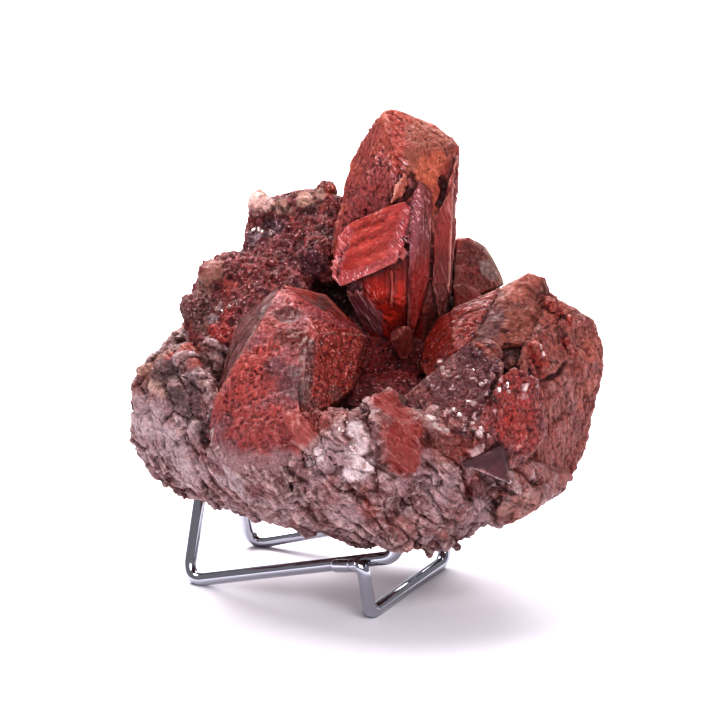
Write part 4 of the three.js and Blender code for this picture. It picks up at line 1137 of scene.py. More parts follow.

    # Clefts, carved in and painted dark as shade
    for path, width, depth in (
            ([(12, -12, 60), (20, -17, 62.5), (24.5, -19.5, 65.6)], 0.7, 0.8),
            ([(26, -21, 66), (29, -24, 61.5), (31, -28, 60.5), (27.4, -35, 56)], 1.2, 1.2),
            ([(33, -17, 65), (36.5, -18, 61.5), (39, -19, 58.4)], 1.2, 1.0),
            ([(40, -18, 56.4), (45.6, -12, 57), (49, -8, 60)], 0.9, 1.0),
            ([(24, -38, 50), (28, -36, 44), (33, -32, 41)], 0.8, 0.9),
            ([(36.5, -26.5, 56), (38, -26, 48), (36, -28, 42)], 0.7, 0.6),
            ([(42.4, 0, 76), (43.6, -2, 71.6), (48.6, -2, 67.4)], 0.7, 0.7)):
        cleft = skin.along(path, width)
        height -= cleft * depth
        skin.lay(cleft * 0.8, "#451517")
    skin.lift(height)
    skin.stain([
        ("#7b2014", 0.9, 0.6, [(17, -14, 65, 5), (15, -13, 61, 4)]),
        ("#9c4f3c", 0.75, 0.4, [(25.5, -19.5, 65.5, 3), (28, -21, 63.4, 3.4), (29, -21, 60.6, 2.4)]),
        # Near-black spot on the lump that fills the gap between the prism and the glitter face: painted
        # shadow
        ("#3c1315", 0.9, 0.3, [(34, -14, 62.4, 3)]),
        ("#6b4848", 0.8, 0.5, [(28.4, -14.4, 68, 3.8), (30, -11.6, 70, 3.2), (27, -17, 66, 2.6)]),
        ("#7a4e4c", 0.6, 0.5, [(20, -24, 62.5, 4), (16, -25, 60, 3.5)]),
        ("#a65e50", 0.6, 0.4, [(35, -5, 77, 4), (39, 0, 79, 4), (54, -0.4, 60, 4), (53.4, -3.6, 50, 5)]),
        ("#96362f", 0.5, 0.4, [(34, -31, 52, 7.5), (36, -29, 46, 5)]),
        ("#a63c33", 0.6, 0.4, [(32.6, -31.6, 52, 3.4), (34.6, -30.4, 48, 3), (30.6, -33, 49.6, 2.6)]),
        ("#7a3029", 0.8, 0.5, [(22.5, -37.4, 46.6, 3), (21.5, -38, 33, 3)]),
        # Small white spots: painted glints
        ("#e6d2d2", 0.9, 0.95,
         [(17, -17.4, 60.7, 1.3), (15.8, -19, 59.4, 0.9), (36.6, -28.8, 58.1, 1.2),
          (24.4, -37.4, 50.4, 0.8), (25.7, -37.6, 49.6, 1.1), (28.1, -36.7, 46.6, 0.9),
          (31, -30.4, 55.6, 0.8), (23.4, -21.6, 63.5, 0.7), (41.8, -17.4, 63.4, 1.0),
          (20, -12.6, 70.6, 0.7)]),
        ("#6a322d", 0.8, 0.5, [(27.5, 17, 81, 4), (24, 8, 74, 4)]),
        ("#8f7772", 0.8, 0.7, [(29.6, 16.4, 77, 2.4), (31, 16, 75.4, 2)]),
        ("#4f1c1b", 0.8, 0.6, [(25, 18, 77.5, 2.4), (24.5, 18.6, 82, 2)]),
        ("#97736c", 0.6, 0.5, [(33, -30.4, 29, 3), (38, -26, 31, 3), (43, -20.6, 32, 2.6),
                               (37, -26.6, 27.6, 2.6)]),
        ("#5f3532", 0.7, 0.5, [(35.6, -28.4, 31.4, 2), (41, -22.6, 30, 2.2), (31, -31, 25.6, 1.6)]),
    ])
    foot = of["right_foot"]
    height = foot * (chips(p, 3.2, 0.12, 0.5, 15) + 0.25 * cloud(p, 1.2, 16, 2))
    skin.mottle(foot * 0.6, 2.2, 17, 0.1, 0.5, "#a68a86", 2)
    skin.mottle(foot * 0.6, 1.8, 18, 0.2, 0.5, "#59302f", 2)
    skin.lift(height)
    rear = of["rear_right_crystal"]
    rim = skin.along([(27, 20, 84), (29.4, 20, 82), (33, 19, 76.6), (34.4, 17, 72.6)], 2.6, 0.15)
    skin.lay(rear * rim * 0.8, "#a39289")
    skin.lay(skin.along([(20.6, -41, 43), (27, -38.4, 39.8), (33.2, -35.4, 36.2)], 0.5, 0.3) * 0.8,
             "#d8bfbf")
    # Painted shade and iron oxide darken the hollows; the ridges are worn pale
    skin.shade_oxide_and_wear("#401416", "#c08c84", 0.6, 0.25)
    return skin.finish("right_crystals", gypsum("stained selenite, right crystals", 0.6, 0.15, 0.3))


# ---- Sugary crust and matrix ---------------------------------------------------------------------


def lumps(points, normals, coarse, fine):
    """Raises a surface by soft lumps 9 mm across and by crests 3 mm apart."""
    height = cloud(points, 9, 3) * coarse + (0.3 - np.abs(cloud(points, 3.2, 6, 2))) * fine
    return points + normals * height[:, None]


def crust(name, blocks, flakes, random, voxel, coarse, fine, grown=(), along=None):
    """A rough lump of the rock: blocks wrapped and made lumpy, set with small crystals, and wrapped again.
    flakes is a list of (how many per square mm, size, tilt), and they may all lie along one direction."""
    solids = [block(CORNERS[b], MATRIX_SHARPNESS) for b in blocks]
    points, faces, edges = wrapped(name, [*solids, *grown], COARSE_VOXEL)
    points = lumps(points, normals_of(points, faces), coarse, fine)
    normals = normals_of(points, faces)
    sides = points[faces]
    area = np.linalg.norm(np.cross(sides[:, 2] - sides[:, 0], sides[:, 3] - sides[:, 1]), axis=1) / 2
    parts = [(points, np.concatenate([faces[:, :3], faces[:, [0, 2, 3]]]))]
    for density, size, tilt in flakes:
        chosen = random.choice(len(faces), int(area.sum() * density), p=area / area.sum())
        mix = random.dirichlet((1, 1, 1, 1), len(chosen))
        seats = np.einsum("nk,nkj->nj", mix, points[faces[chosen]])
        facing = unit(normals[faces[chosen]].mean(1))
        seats = seats - facing * random.uniform(0, 0.3, (len(seats), 1)) * size[2]
        parts.append(crystal_flakes(seats, facing, random, size, tilt,
                                    along and np.tile(along, (len(seats), 1))))
    return Skin(*wrapped(name, parts, voxel))


def sugary_crust(settings):
    """The druse on the left and behind: grains like coarse sugar, with a few rounded clear tips along the
    top."""
    random = np.random.default_rng(settings.seed + 2)
    tips = [((-27, 16, 93), (2.6, 3, 4)), ((-24.6, 16, 92), (2.6, 2.6, 3.2)),
            ((-21, 16, 92), (2.4, 2.6, 3)), ((-15.5, 17, 93.6), (3.4, 2.6, 2.4)),
            ((-10, 17, 96), (2.6, 2.6, 2.8)), ((-7.6, 13, 92.5), (2.2, 3, 3.4)),
            ((-13, 5, 83), (4.6, 4.6, 4.4)), ((-38, 4, 78), (3.6, 3, 3.6)),
            ((-42, 0, 70.5), (3, 3, 3.4)), ((-7, 8.4, 70.4), (4, 4, 5)), ((3.4, -9.4, 50.4), (15, 8, 6))]
    skin = crust("sugary_crust", ["sugary_low", "sugary_top", "sugary_back", "tall_root"],
                 [(0.6, (1.2, 1.0, 0.8), 1.0)], random, settings.skin / MM * 0.95, 1.1, 0.6,
                 [ball(*tip) for tip in tips])
    p = skin.place
    height = chips(p, 0.9, 0.35, 0.16, 2) - 0.6 * step(0.2, 0.6, cloud(p, 3.4, 71, 2))
    smooth = skin.spots([(-27, 15, 94, 3.4), (-15.5, 16, 94.5, 2.6), (-20.5, 16, 93, 2),
                         (-38.6, 3.3, 79, 4)])
    skin.lift(height * (1 - 0.75 * smooth))
    skin.colours[:] = linear("#74302f")
    skin.gloss[:] = 0.4
    skin.sugar = 1 - 0.8 * smooth
    skin.mottle(1, 5, 73, -0.2, 0.4, "#652a2f", 2)
    _, chance, _ = grains(p, 1.2, 74)
    skin.lay((chance[:, 0] > 0.8) * 0.4, "#965357")
    skin.lay((chance[:, 0] < 0.25) * 0.6, "#4b1d21")
    skin.stain([
        ("#d2aea6", 0.95, 0.6, [(-27, 15, 94, 4.8)]),
        ("#b58f82", 0.9, 0.5, [(-21, 15, 92.8, 3.0), (-15.5, 15, 94.5, 3.2), (-11.5, 15, 95.6, 2.2)]),
        ("#8f4234", 0.9, 0.5, [(-8.6, 15, 97, 2.6), (-10.5, 13, 92.5, 2)]),
        ("#5f4650", 0.8, 0.5, [(-24, 11, 89, 4.2), (-29, 10, 87.5, 3.4)]),
        # Small pale glossy spots: painted glints
        ("#b59aa0", 0.6, 0.8, [(-29.6, 10.5, 88, 2.0), (-27, 10, 87, 1.6), (-26, 11, 91, 1.4)]),
        # Dark patches where the crust meets the long crystal and under its plate: painted shade
        ("#40191e", 0.9, 0.3, [(-12, 6, 90, 3.6), (-8.5, 6, 86, 3), (-14, 13, 92, 2.4), (-6, 5, 79, 4)]),
        ("#4f2930", 0.85, 0.3, [(-13, 2, 81.5, 4.4)]),
        ("#8c6258", 0.9, 0.45, [(-37.5, 3, 80, 4), (-40.5, 2, 76, 3.4)]),
        ("#6d4c48", 0.85, 0.4, [(-42, -1, 71, 5), (-40, -4, 67.5, 4)]),
        ("#8d888c", 0.55, 0.6, [(-36, -4, 72.5, 2.2), (-37.5, -5, 69.6, 1.8)]),
        ("#8f2f2b", 0.85, 0.35, [(-35.6, -8, 67, 3.6), (-32, -9, 66, 3), (-34, -5, 70, 2.2)]),
        ("#a04a40", 0.6, 0.4, [(-34, 0, 76.5, 2.6)]),
        ("#6b4043", 0.8, 0.3, [(-18, -2, 75, 4)]),
        ("#7c2426", 0.9, 0.2, [(5, -4, 58, 10), (-4, -3, 60, 7), (12, -6, 52, 7)]),
        # Near black between the crust and the foot of the long crystal, under its plate: painted shade
        ("#2e1014", 0.9, 0.2, [(-4, 1, 71, 4.5), (-6, 0, 75, 3), (-7, 6, 71, 7)]),
    ])
    # Painted shade and iron oxide darken the hollows; the ridges are worn pale
    skin.shade_oxide_and_wear("#371317", "#a86e6c", 0.55, 0.25)
    return skin.finish("sugary_crust", gypsum("sugary gypsum crust", 0.55, 0.12, 0.25))


GRAIN_OF_ROCK = (0.62, 0.2, -0.72)


def matrix(name, settings, number, blocks, base, rows, red, smooth=(), grown=(), clefts=(), coarser=1.05):
    """A lump of broken matrix: slabs 5 mm wide that all lean one way, with crevices between them and chips
    of 1 to 2 mm, mauve and grey with red-brown between; crevices and clefts take painted shade. Patches in
    smooth are left even, clefts are (path, width, depth), and coarser widens the faces of its skin."""
    random = np.random.default_rng(settings.seed + number)
    skin = crust(name, blocks, PLATES, random, settings.skin / MM * coarser, 0.8, 0.2, grown, GRAIN_OF_ROCK)
    p = skin.place
    leaning = streaked(p, GRAIN_OF_ROCK, 1, 3.2)
    even = skin.spots(smooth)
    warped = leaning + 0.6 * np.stack([cloud(p, 5, seed) for seed in (86, 87, 88)], 1)
    _, chance, gap = grains(warped, 5.2, 20)
    crevice = (1 - step(0.0, 0.5, gap)) * (chance[:, 2] > 0.35)
    skin.lift((1 - 0.85 * even) * (
        chips(warped, 5.2, 0.2, 0.9, 20) + chips(leaning, 2.0, 0.14, 0.25, 21)
        + chips(p, 0.9, 0.2, 0.08, 22) - 0.7 * crevice - 0.45 * step(0.35, 0.65, cloud(p, 3.0, 81, 2))))
    skin.colours[:] = linear(base)
    skin.gloss[:] = 0.4
    skin.sugar = 0.6 - 0.5 * even
    tone = cloud(leaning, 5, 84, 3)
    skin.lay(step(0.0, 0.4, tone) * 0.5, "#a08a8d")
    skin.lay(step(0.05, 0.45, -tone) * 0.6, "#6e4648")
    skin.lay((chance[:, 1] > 0.7) * 0.35, "#a8908f")
    skin.lay((chance[:, 1] < 0.2) * 0.4, "#6b4a4e")
    _, chance, _ = grains(leaning, 2.0, 21)
    skin.lay((chance[:, 1] > 0.85) * 0.4, "#b29c9c")
    skin.lay((chance[:, 2] > 0.8) * 0.5, "#74443e")
    _, chance, _ = grains(p, 0.9, 22)
    skin.lay((chance[:, 1] > 0.92) * 0.5, "#c6b1b1")
    skin.lay((chance[:, 1] < 0.15) * 0.5, "#5a3032")
    skin.mottle(red, 4.5, 83, 0, 0.45, "#87443c", 3)
    # Painted shade in the crevices between the slabs
    skin.lay(crevice * 0.6, "#4e2625")
    # Painted shade and iron oxide darken the hollows; the ridges are worn pale
    skin.shade_oxide_and_wear("#4a1a1a", "#c4a7a4", 0.6, 0.25)
    skin.stain(rows)
    # Clefts, carved in and painted dark as shade
    for path, width, depth in clefts:
        cleft = skin.along(path, width, 0.8)
        skin.lift(-cleft * depth)
        skin.lay(cleft * 0.8, "#3c2226")
    skin.silk = streaked(p, GRAIN_OF_ROCK, 0.5, 4)
    skin.glint[:] = 0.15
    return skin.finish(name, gypsum(name.replace("matrix_", "broken gypsum matrix, "), 0.7, 0.12, 0.35))


PLATES = [(0.06, (6.5, 3.2, 1.7), 0.3), (0.06, (3.4, 1.4, 1.0), 0.5)]
LEFT_FILLS = [ball((-37, -6, 58), (5, 6, 6)), ball((-16, -37.2, 45), (5, 3, 9))]
SADDLE = block([
    (2.5, -31, 58.4), (-1, -33, 57), (6.5, -29.5, 57), (11, -34, 52), (13.4, -36.6, 48), (12, -39, 44),
    (9, -41, 42), (4, -41.6, 42), (2, -41.6, 48.5), (2.2, -38.6, 54), (4, -24, 52), (10, -26, 48),
    (-2, -26, 50),
], SADDLE_SHARPNESS)
RIGHT_FILLS = [ball(centre, size) for centre, size in (
    ((6.6, -31.2, 24.2), (5.2, 4, 5.6)), ((-5, -38.6, 50), (4, 3.4, 3.6)),
    ((0, -38.6, 50.4), (3.2, 3.2, 3.4)), ((11, -30, 25), (4.4, 3.6, 5.4)),
    ((2, -31, 26), (4.6, 4, 5.6)), ((16, -33.4, 50), (9, 4.5, 4)), ((9, -37.2, 43), (4.5, 3.5, 9)),
    ((22.6, -34.6, 44.8), (4.6, 3, 3.2)),
)]


def matrix_pieces(settings):
    """The three lumps of matrix: front left, front right and back."""
    matrix("matrix_left", settings, 3, ["left_lobe", "rim_left"], "#8c6d6e", [
        ("#5c3835", 0.75, 0.35, [(-45, -8, 62, 7), (-52, -8, 60, 6), (-40, -14, 59, 6), (-48, -14, 57, 5)]),
        ("#8a5c4c", 0.7, 0.35, [(-49, -8, 61.5, 4), (-54, -8, 58, 4), (-42, -12, 61, 3)]),
        ("#96463a", 0.8, 0.3, [(-43, -12, 63.5, 4), (-47, -12, 61.5, 2.4), (-41, -17, 60.6, 2.4)]),
        ("#4d383a", 0.7, 0.3, [(-47, -16, 58.5, 3.4), (-41.5, -20, 57, 3.2), (-45.6, -20.5, 54.8, 3)]),
        ("#b59488", 0.75, 0.5, [(-52, -14, 54.4, 2.8), (-50, -17, 53.4, 2.0)]),
        ("#4a3335", 0.7, 0.3, [(-46, -19, 53.4, 3.6), (-42, -23, 50.4, 4), (-50, -13, 57, 2.4),
                               (-39.6, -25, 47, 2.6)]),
        ("#ab969b", 0.55, 0.5, [(-52, -14, 46, 7), (-47, -20, 41, 7), (-43, -23, 36, 6),
                                (-34, -30, 36, 6)]),
        ("#8f3c34", 0.8, 0.4, [(-30, -35, 47, 6), (-24, -38, 49, 6.5), (-18, -38, 51, 6.5),
                               (-13, -38, 53, 5)]),
        ("#6b3436", 0.7, 0.3, [(-35, -28, 40, 4), (-26, -34, 34, 4), (-33, -31, 45, 3)]),
        ("#544048", 0.7, 0.3, [(-31, -34, 43, 3)]),
    ], 0.4, [(-50, -16, 45, 3), (-43, -23, 40, 3), (-31, -34.6, 47, 5), (-24, -38, 49, 5),
             (-17, -38, 51, 5)],
        LEFT_FILLS, [
            ([(-48.6, -19.4, 51.4), (-44.6, -21.6, 52.3), (-40.7, -24, 51.4), (-36.8, -27, 50.5)],
             1.3, 1.4),
            ([(-36.8, -27, 50.5), (-38, -26.6, 47.4), (-38.6, -26, 45)], 1.8, 1.4),
            ([(-37.2, -23.7, 35.5), (-36.9, -21.6, 29.6)], 0.9, 1.0),
            ([(-23.3, -38, 45.5), (-19.3, -39.9, 41.7), (-15, -40, 38.5)], 0.9, 1.0),
        ])
    matrix("matrix_right", settings, 4, ["rim_middle", "rim_right", "right_underside"], "#8d6868", [
        ("#8c4a44", 0.5, 0.4, [(8, -36, 51, 9), (18, -37, 47, 7), (-10, -37, 53, 6)]),
        ("#84322c", 0.95, 0.5, [(5, -35, 55, 6), (7.5, -38, 49, 6.5), (8, -40, 44, 5)]),
        ("#7a2a25", 0.6, 0.5, [(8, -40, 44, 4.5), (11, -38, 46, 3)]),
        ("#a48a8d", 0.7, 0.5, [(-8, -41, 46, 5), (-14, -40, 46, 5), (-12, -40, 41, 4), (-5, -42, 44, 5)]),
        ("#d0bcbe", 0.85, 0.6, [(-1.8, -42, 47.6, 3.8), (-3.4, -41, 51, 2.6), (-0.6, -43, 43, 3.6),
                                (-4, -42, 41, 2.4), (-12, -40, 45, 2.4), (-15, -40, 42.4, 1.8),
                                (-9, -41, 42.6, 1.6)]),
        ("#6b4e47", 0.85, 0.4, [(9, -31, 56, 2.6), (12, -32, 53.4, 2.8)]),
        ("#9c7c80", 0.6, 0.5, [(12.6, -38, 44, 2.6), (11, -38.6, 40.4, 2.6), (7.4, -39.6, 38, 2.6)]),
        ("#7f453e", 0.8, 0.4, [(36, -28, 38, 4), (41, -22, 36, 5), (46, -15, 34, 5), (50, -12, 31, 4)]),
        ("#873a32", 0.6, 0.35, [(20, -38.6, 47, 3.4), (28, -36, 40, 3.4), (-12, -37, 52, 4),
                                (0, -37, 32, 4)]),
        # Dark red under the plum facet's overhang: painted shade
        ("#56191a", 0.9, 0.5, [(24.5, -36, 35.4, 3.2), (27.5, -34, 35, 2.6)]),
        ("#7c3b35", 0.85, 0.4, [(21, -37, 45.6, 4.4), (25, -36, 45, 3)]),
        ("#ac9294", 0.5, 0.5, [(-6, -36, 30, 6), (4, -36, 38, 5), (16, -37, 36, 5), (26, -30, 28, 5)]),
        ("#5c3234", 0.7, 0.3, [(14, -34, 40, 3), (-8, -40, 42, 3), (24, -36, 31, 3), (2, -40, 37, 3)]),
    ], 0.5, [(5, -36, 54, 6.5), (7.5, -39, 48, 7), (8, -40, 44, 5.5), (44, -18, 34, 6)],
    [*RIGHT_FILLS, SADDLE])
    matrix("matrix_back", settings, 5,
           ["back_middle", "back_left", "back_right", "back_crystal_tall", "back_crystal_left"], "#835c58",
           [("#8f4238", 0.8, 0.4, [(0, 38, 66, 12), (38, 28, 56, 12), (-28, 32, 60, 10)]),
            ("#a59296", 0.5, 0.5, [(-48, 12, 46, 9), (-20, 30, 34, 10), (46, 14, 36, 9)])],
           0.6, coarser=1.6)


CLEAR_SEATS = [
    # (x, y, z, how many) near the glitter face, the saddle, the white patch and the druse
    (17, -26.6, 61.6, 4), (24.6, -28.6, 61.4, 2), (24.6, -31.2, 58.8, 2), (23.3, -34, 55.8, 3),
    (20, -35, 54.4, 4), (23.7, -37.4, 51.2, 4), (26.2, -38, 49.4, 4), (31.5, -32.2, 59, 3),
    (12.6, -35.6, 52.6, 2), (-3, -42.8, 48, 4), (-5, -42, 52, 3), (-1.6, -43.4, 43, 3),
    (-27, 10, 88, 4), (-24, 10, 87.4, 3), (-36.4, -4.4, 72, 4), (33, -32.6, 35.4, 3),
    (39, -19, 64.6, 1),
]
CLEAR_PRISMS = [(14.2, -36, 52), (16, -37, 50.6), (17.6, -37.2, 49.6)]


def surface_of(names):
    """The points, in mm, and the outward directions of pieces that are already built."""
    rows = []
    for name in names:
        mesh = bpy.data.objects[name].data
        for quantity in ("co", "normal"):
            row = np.empty(len(mesh.vertices) * 3, np.float32)
            mesh.vertices.foreach_get(quantity, row)
            rows.append(row.reshape(-1, 3))
    return np.concatenate(rows[::2]) / MM, np.concatenate(rows[1::2])


def clear_crystals(settings):
    """Small clear tablets, 1 to 2 mm long, that stand in tufts of one to four on the nearest rock, and
    three clear prisms beside the saddle."""
    random = np.random.default_rng(settings.seed + 6)
    seats = np.repeat([seat[:3] for seat in CLEAR_SEATS], [seat[3] for seat in CLEAR_SEATS], axis=0)
    seats = seats + random.normal(0, 0.9, seats.shape)
    rock, outward = surface_of(["right_crystals", "matrix_right", "sugary_crust"])
    nearest = [np.argmin(((rock - seat) ** 2).sum(1)) for seat in np.concatenate([seats, CLEAR_PRISMS])]
    tufts, prisms = np.split(np.array(nearest), [len(seats)])
    points, faces = joined([
        crystal_flakes(rock[tufts], outward[tufts], random, (1.3, 0.9, 0.7), 0.6),
        crystal_flakes(rock[prisms], outward[prisms], random, (2.8, 1.5, 1.2), 0.1,
                       np.tile((0.8, -0.1, -0.5), (len(prisms), 1))),
    ])
    mesh = mesh_from("clear_crystals", points, [faces], smooth=False)
    piece = add_object("clear_crystals", mesh, clear_selenite())
    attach(piece, BODY)
    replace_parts(piece, "gypsum_cluster")


# ---- Easel ---------------------------------------------------------------------------------------

WIRE_DIAMETER = 3.2
WIRE_RADIUS = WIRE_DIAMETER / 2
GAP = 0.3
FOOT_FLAT_DEPTH = 0.12
EASEL_CENTRE = (-12.8, 4.0)
EASEL_TURN = np.radians(-25.5)
REAR_CORNER_FORWARD = -27.8
REAR_HALF_WIDTH = 16.7
FRONT_FOOT_FORWARD = 25.0
FRONT_FOOT_HALF_WIDTH = 22.0
PRONG_BEND_FORWARD = 32.4
PRONG_BEND_HALF_WIDTH = 22.5
PRONG_BEND_Z = 17.0
PRONG_TIP_FORWARD = 33.0
PRONG_TIP_Z = 27.0
HOOP_TOP_FORWARD = -27.5
HOOP_TOP_HALF_WIDTH = 8.0
HOOP_TOP_Z = 27.0
STUB_START_FORWARD = 15.5
STUB_END_FORWARD = 24.8
FOOT_Z = WIRE_RADIUS - FOOT_FLAT_DEPTH
REAR_CORNER_Z = FOOT_Z - 1.14
FRAME_BENDS = (3.5, 5.5, 7.0)
FOOT_BENDS = (2.4, 3.4, 3.2)
STUB_RUN_IN = 5.6
BEAD_START_FORWARD = STUB_START_FORWARD - 0.4
BEAD_END_FORWARD = STUB_END_FORWARD - 2.2
BEAD_SIDES = 20
PATH_SPACING = 0.35


def on_easel(forward, across, up):
    """A point given along the easel towards its prongs, across it and up, in the object's axes."""
    cos, sin = np.cos(EASEL_TURN), np.sin(EASEL_TURN)
    return np.array([
        EASEL_CENTRE[0] + forward * cos - across * sin,
        EASEL_CENTRE[1] + forward * sin + across * cos,
        up,
    ])


def straight(start, end, **ends):
    """Points from start to end, about PATH_SPACING mm apart."""
    count = max(2, int(np.linalg.norm(end - start) / PATH_SPACING))
    return start + (end - start) * np.linspace(0, 1, count, **ends)[:, None]


def bent_path(corners, bends):
    """Straight runs whose corners are rounded off: each bend is the curve (1-t)²A + 2t(1-t)B + t²C from
    bend mm before corner B to bend mm after it."""
    parts = []
    start = corners[0]
    for before, corner, after, bend in zip(corners, corners[1:], corners[2:], bends):
        into = corner + unit(before - corner) * bend
        out = corner + unit(after - corner) * bend
        parts.append(straight(start, into, endpoint=False))
        t = np.linspace(0, 1, int(bend * 2 / PATH_SPACING), endpoint=False)[:, None]
        parts.append((1 - t) ** 2 * into + 2 * t * (1 - t) * corner + t**2 * out)
        start = out
    return np.concatenate([*parts, straight(start, corners[-1])])


def round_wire(path, radius, around):
    """A circle carried along a path and shrunk to a dome at both ends: s mm from an end its radius is
    sqrt(1 - (1 - s / radius)²) of the full one. It is cut off flat at the table."""
    tangent = unit(np.gradient(path, axis=0))
    side = unit(np.cross(tangent, on_easel(0.5, 0.5, 0.7) - on_easel(0, 0, 0)))
    other = np.cross(tangent, side)
    run = run_along(path)
    end = np.minimum(np.minimum(run, run[-1] - run) / radius, 1)
    dome = np.sqrt(np.clip(1 - (1 - end) ** 2, 0.0004, 1)) * radius
    turn = np.arange(around) / around * 2 * np.pi
    ring = side[:, None] * np.cos(turn)[:, None] + other[:, None] * np.sin(turn)[:, None]
    rings = path[:, None] + ring * dome[:, None, None]
    points = np.concatenate([rings.reshape(-1, 3), path[:1], path[-1:]])
    points[:, 2] = np.maximum(points[:, 2], 0)
    index = np.arange(len(path) * around).reshape(len(path), around)
    a, b = index[:-1], index[1:]
    walls = np.stack([a, np.roll(a, -1, 1), np.roll(b, -1, 1), b], -1).reshape(-1, 4)
    first, last = len(points) - 2, len(points) - 1
    caps = np.concatenate([
        np.stack([np.full(around, first), np.roll(index[0], -1), index[0]], -1),
        np.stack([np.full(around, last), index[-1], np.roll(index[-1], -1)], -1),
    ])
    return points, walls, caps


def mirrored(side, bends):
    """A path that starts on one side of the easel and ends in the same way on the other."""
    return bent_path([*side(-1), *side(1)[::-1]], [*bends, *bends[::-1]])


def frame_path():
    """From one prong tip down along a side bar, round the hoop at the back, and along to the other tip."""
    def side(sign):
        return [
            on_easel(PRONG_TIP_FORWARD, sign * PRONG_BEND_HALF_WIDTH, PRONG_TIP_Z),
            on_easel(PRONG_BEND_FORWARD, sign * PRONG_BEND_HALF_WIDTH, PRONG_BEND_Z),
            on_easel(REAR_CORNER_FORWARD, sign * REAR_HALF_WIDTH, REAR_CORNER_Z),
            on_easel(HOOP_TOP_FORWARD, sign * HOOP_TOP_HALF_WIDTH, HOOP_TOP_Z),
        ]
    return mirrored(side, FRAME_BENDS)


def beside_bar(forward, sign, apart):
    """A point at the height of a side bar and apart mm outside its middle."""
    t = (forward - REAR_CORNER_FORWARD) / (PRONG_BEND_FORWARD - REAR_CORNER_FORWARD)
    across = REAR_HALF_WIDTH + (PRONG_BEND_HALF_WIDTH - REAR_HALF_WIDTH) * t + apart
    return on_easel(forward, sign * across, REAR_CORNER_Z + (PRONG_BEND_Z - REAR_CORNER_Z) * t)


def foot_path():
    """From a stub beside one bar down to the table, across, and up to a stub beside the other bar."""
    def side(sign):
        return [
            beside_bar(STUB_START_FORWARD, sign, WIRE_RADIUS),
            beside_bar(STUB_START_FORWARD + STUB_RUN_IN, sign, WIRE_DIAMETER + GAP),
            beside_bar(STUB_END_FORWARD, sign, WIRE_DIAMETER + GAP),
            on_easel(FRONT_FOOT_FORWARD, sign * FRONT_FOOT_HALF_WIDTH, FOOT_Z),
        ]
    return mirrored(side, FOOT_BENDS)


def weld_path(sign):
    """Along the seam between a side bar and its stub."""
    return bent_path([beside_bar(forward, sign, WIRE_RADIUS + GAP / 2)
                      for forward in (BEAD_START_FORWARD, BEAD_END_FORWARD)], [])


def add_wire(name, paths, radius, around, material, replaced=None):
    """Round wire along each of several paths, as one piece."""
    shapes = [round_wire(path, radius, around) for path in paths]
    points, walls = joined([(points, walls) for points, walls, _ in shapes])
    _, caps = joined([(points, caps) for points, _, caps in shapes])
    piece = add_object(name, mesh_from(name, points, [walls, caps]), material)
    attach(piece, BODY)
    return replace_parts(piece, replaced) if replaced else piece


def easel(settings):
    """The frame wire with its hoop and prongs, the foot wire in front, and the weld beads between them."""
    chrome = bright_chrome()
    add_wire("easel_frame", [frame_path()], WIRE_RADIUS, settings.sides, chrome, "easel_frame_wire")
    add_wire("easel_foot", [foot_path()], WIRE_RADIUS, settings.sides, chrome, "easel_foot_wire")
    add_wire("easel_welds", [weld_path(-1), weld_path(1)], settings.bead / MM / 2, BEAD_SIDES, chrome)


# ---- Stage ---------------------------------------------------------------------------------------

CAMERA_TARGET = (-2.0, -10.0, 60.0)
PIXELS_WIDE = 720
PIXELS_PER_MM = 4.16  # at the distance of the target
SENSOR_WIDTH = 36.0
NEAR_CLIP = 0.01
MIDDLE = (0, 0, 50)
LAMPS = (
    # name, place, target and size, in mm
    ("key", (-230, 200, 680), MIDDLE, 560),
    ("fill", (100, -600, 480), MIDDLE, 460),
    ("backdrop", (0, 1500, 1300), (0, 1500, 0), 1800),
)
FLOOR_HALF_WIDTH = 20000.0
GLOW_STARTS = 0.7  # metres from the middle of the floor
GLOW_FULL = 2.5
LIGHT_COLOUR = "#fbfaff"


def aim(thing, place, target):
    """Puts a lamp or camera at a place and points it at a target, both in mm."""
    thing.location = Vector(place) * MM
    thing.rotation_euler = (Vector(target) - Vector(place)).to_track_quat("-Z", "Y").to_euler()


def add_camera(distance, elevation):
    """A camera straight in front, with the focal length at which the target is PIXELS_PER_MM."""
    camera = bpy.data.cameras.new("camera")
    camera.sensor_width = SENSOR_WIDTH
    camera.lens = SENSOR_WIDTH * PIXELS_PER_MM * distance / PIXELS_WIDE
    camera.clip_start = NEAR_CLIP
    thing = add_object("camera", camera)
    away = np.array([0, -np.cos(elevation), np.sin(elevation)])
    aim(thing, np.array(CAMERA_TARGET) + distance * away, CAMERA_TARGET)
    bpy.context.scene.camera = thing


def add_softbox(name, place, target, size, power):
    """A square lamp of size mm that faces a target."""
    light = bpy.data.lights.new(name, "AREA")
    light.shape = "SQUARE"
    light.size = size * MM
    light.energy = power
    aim(add_object(name, light), place, target)


def add_floor():
    """A sheet of white paper, lit from behind where it is far away so that it stays white out to the
    horizon."""
    corners = np.array([(-1, -1, 0), (1, -1, 0), (1, 1, 0), (-1, 1, 0)]) * FLOOR_HALF_WIDTH
    material, tree = new_tree("white paper")
    place = node(tree, "TexCoord").outputs["Object"]
    far = node(tree, "VectorMath", {0: place}, operation="LENGTH").outputs["Value"]
    surface(tree, {
        "Base Color": colour("#f1eef4"), "Roughness": 0.9, "Emission Color": colour(LIGHT_COLOUR),
        "Emission Strength": ranged(tree, far, GLOW_STARTS, GLOW_FULL, 0, 0.8),
    })
    add_object("floor", mesh_from("floor", corners, [np.array([[0, 1, 2, 3]])]), material)


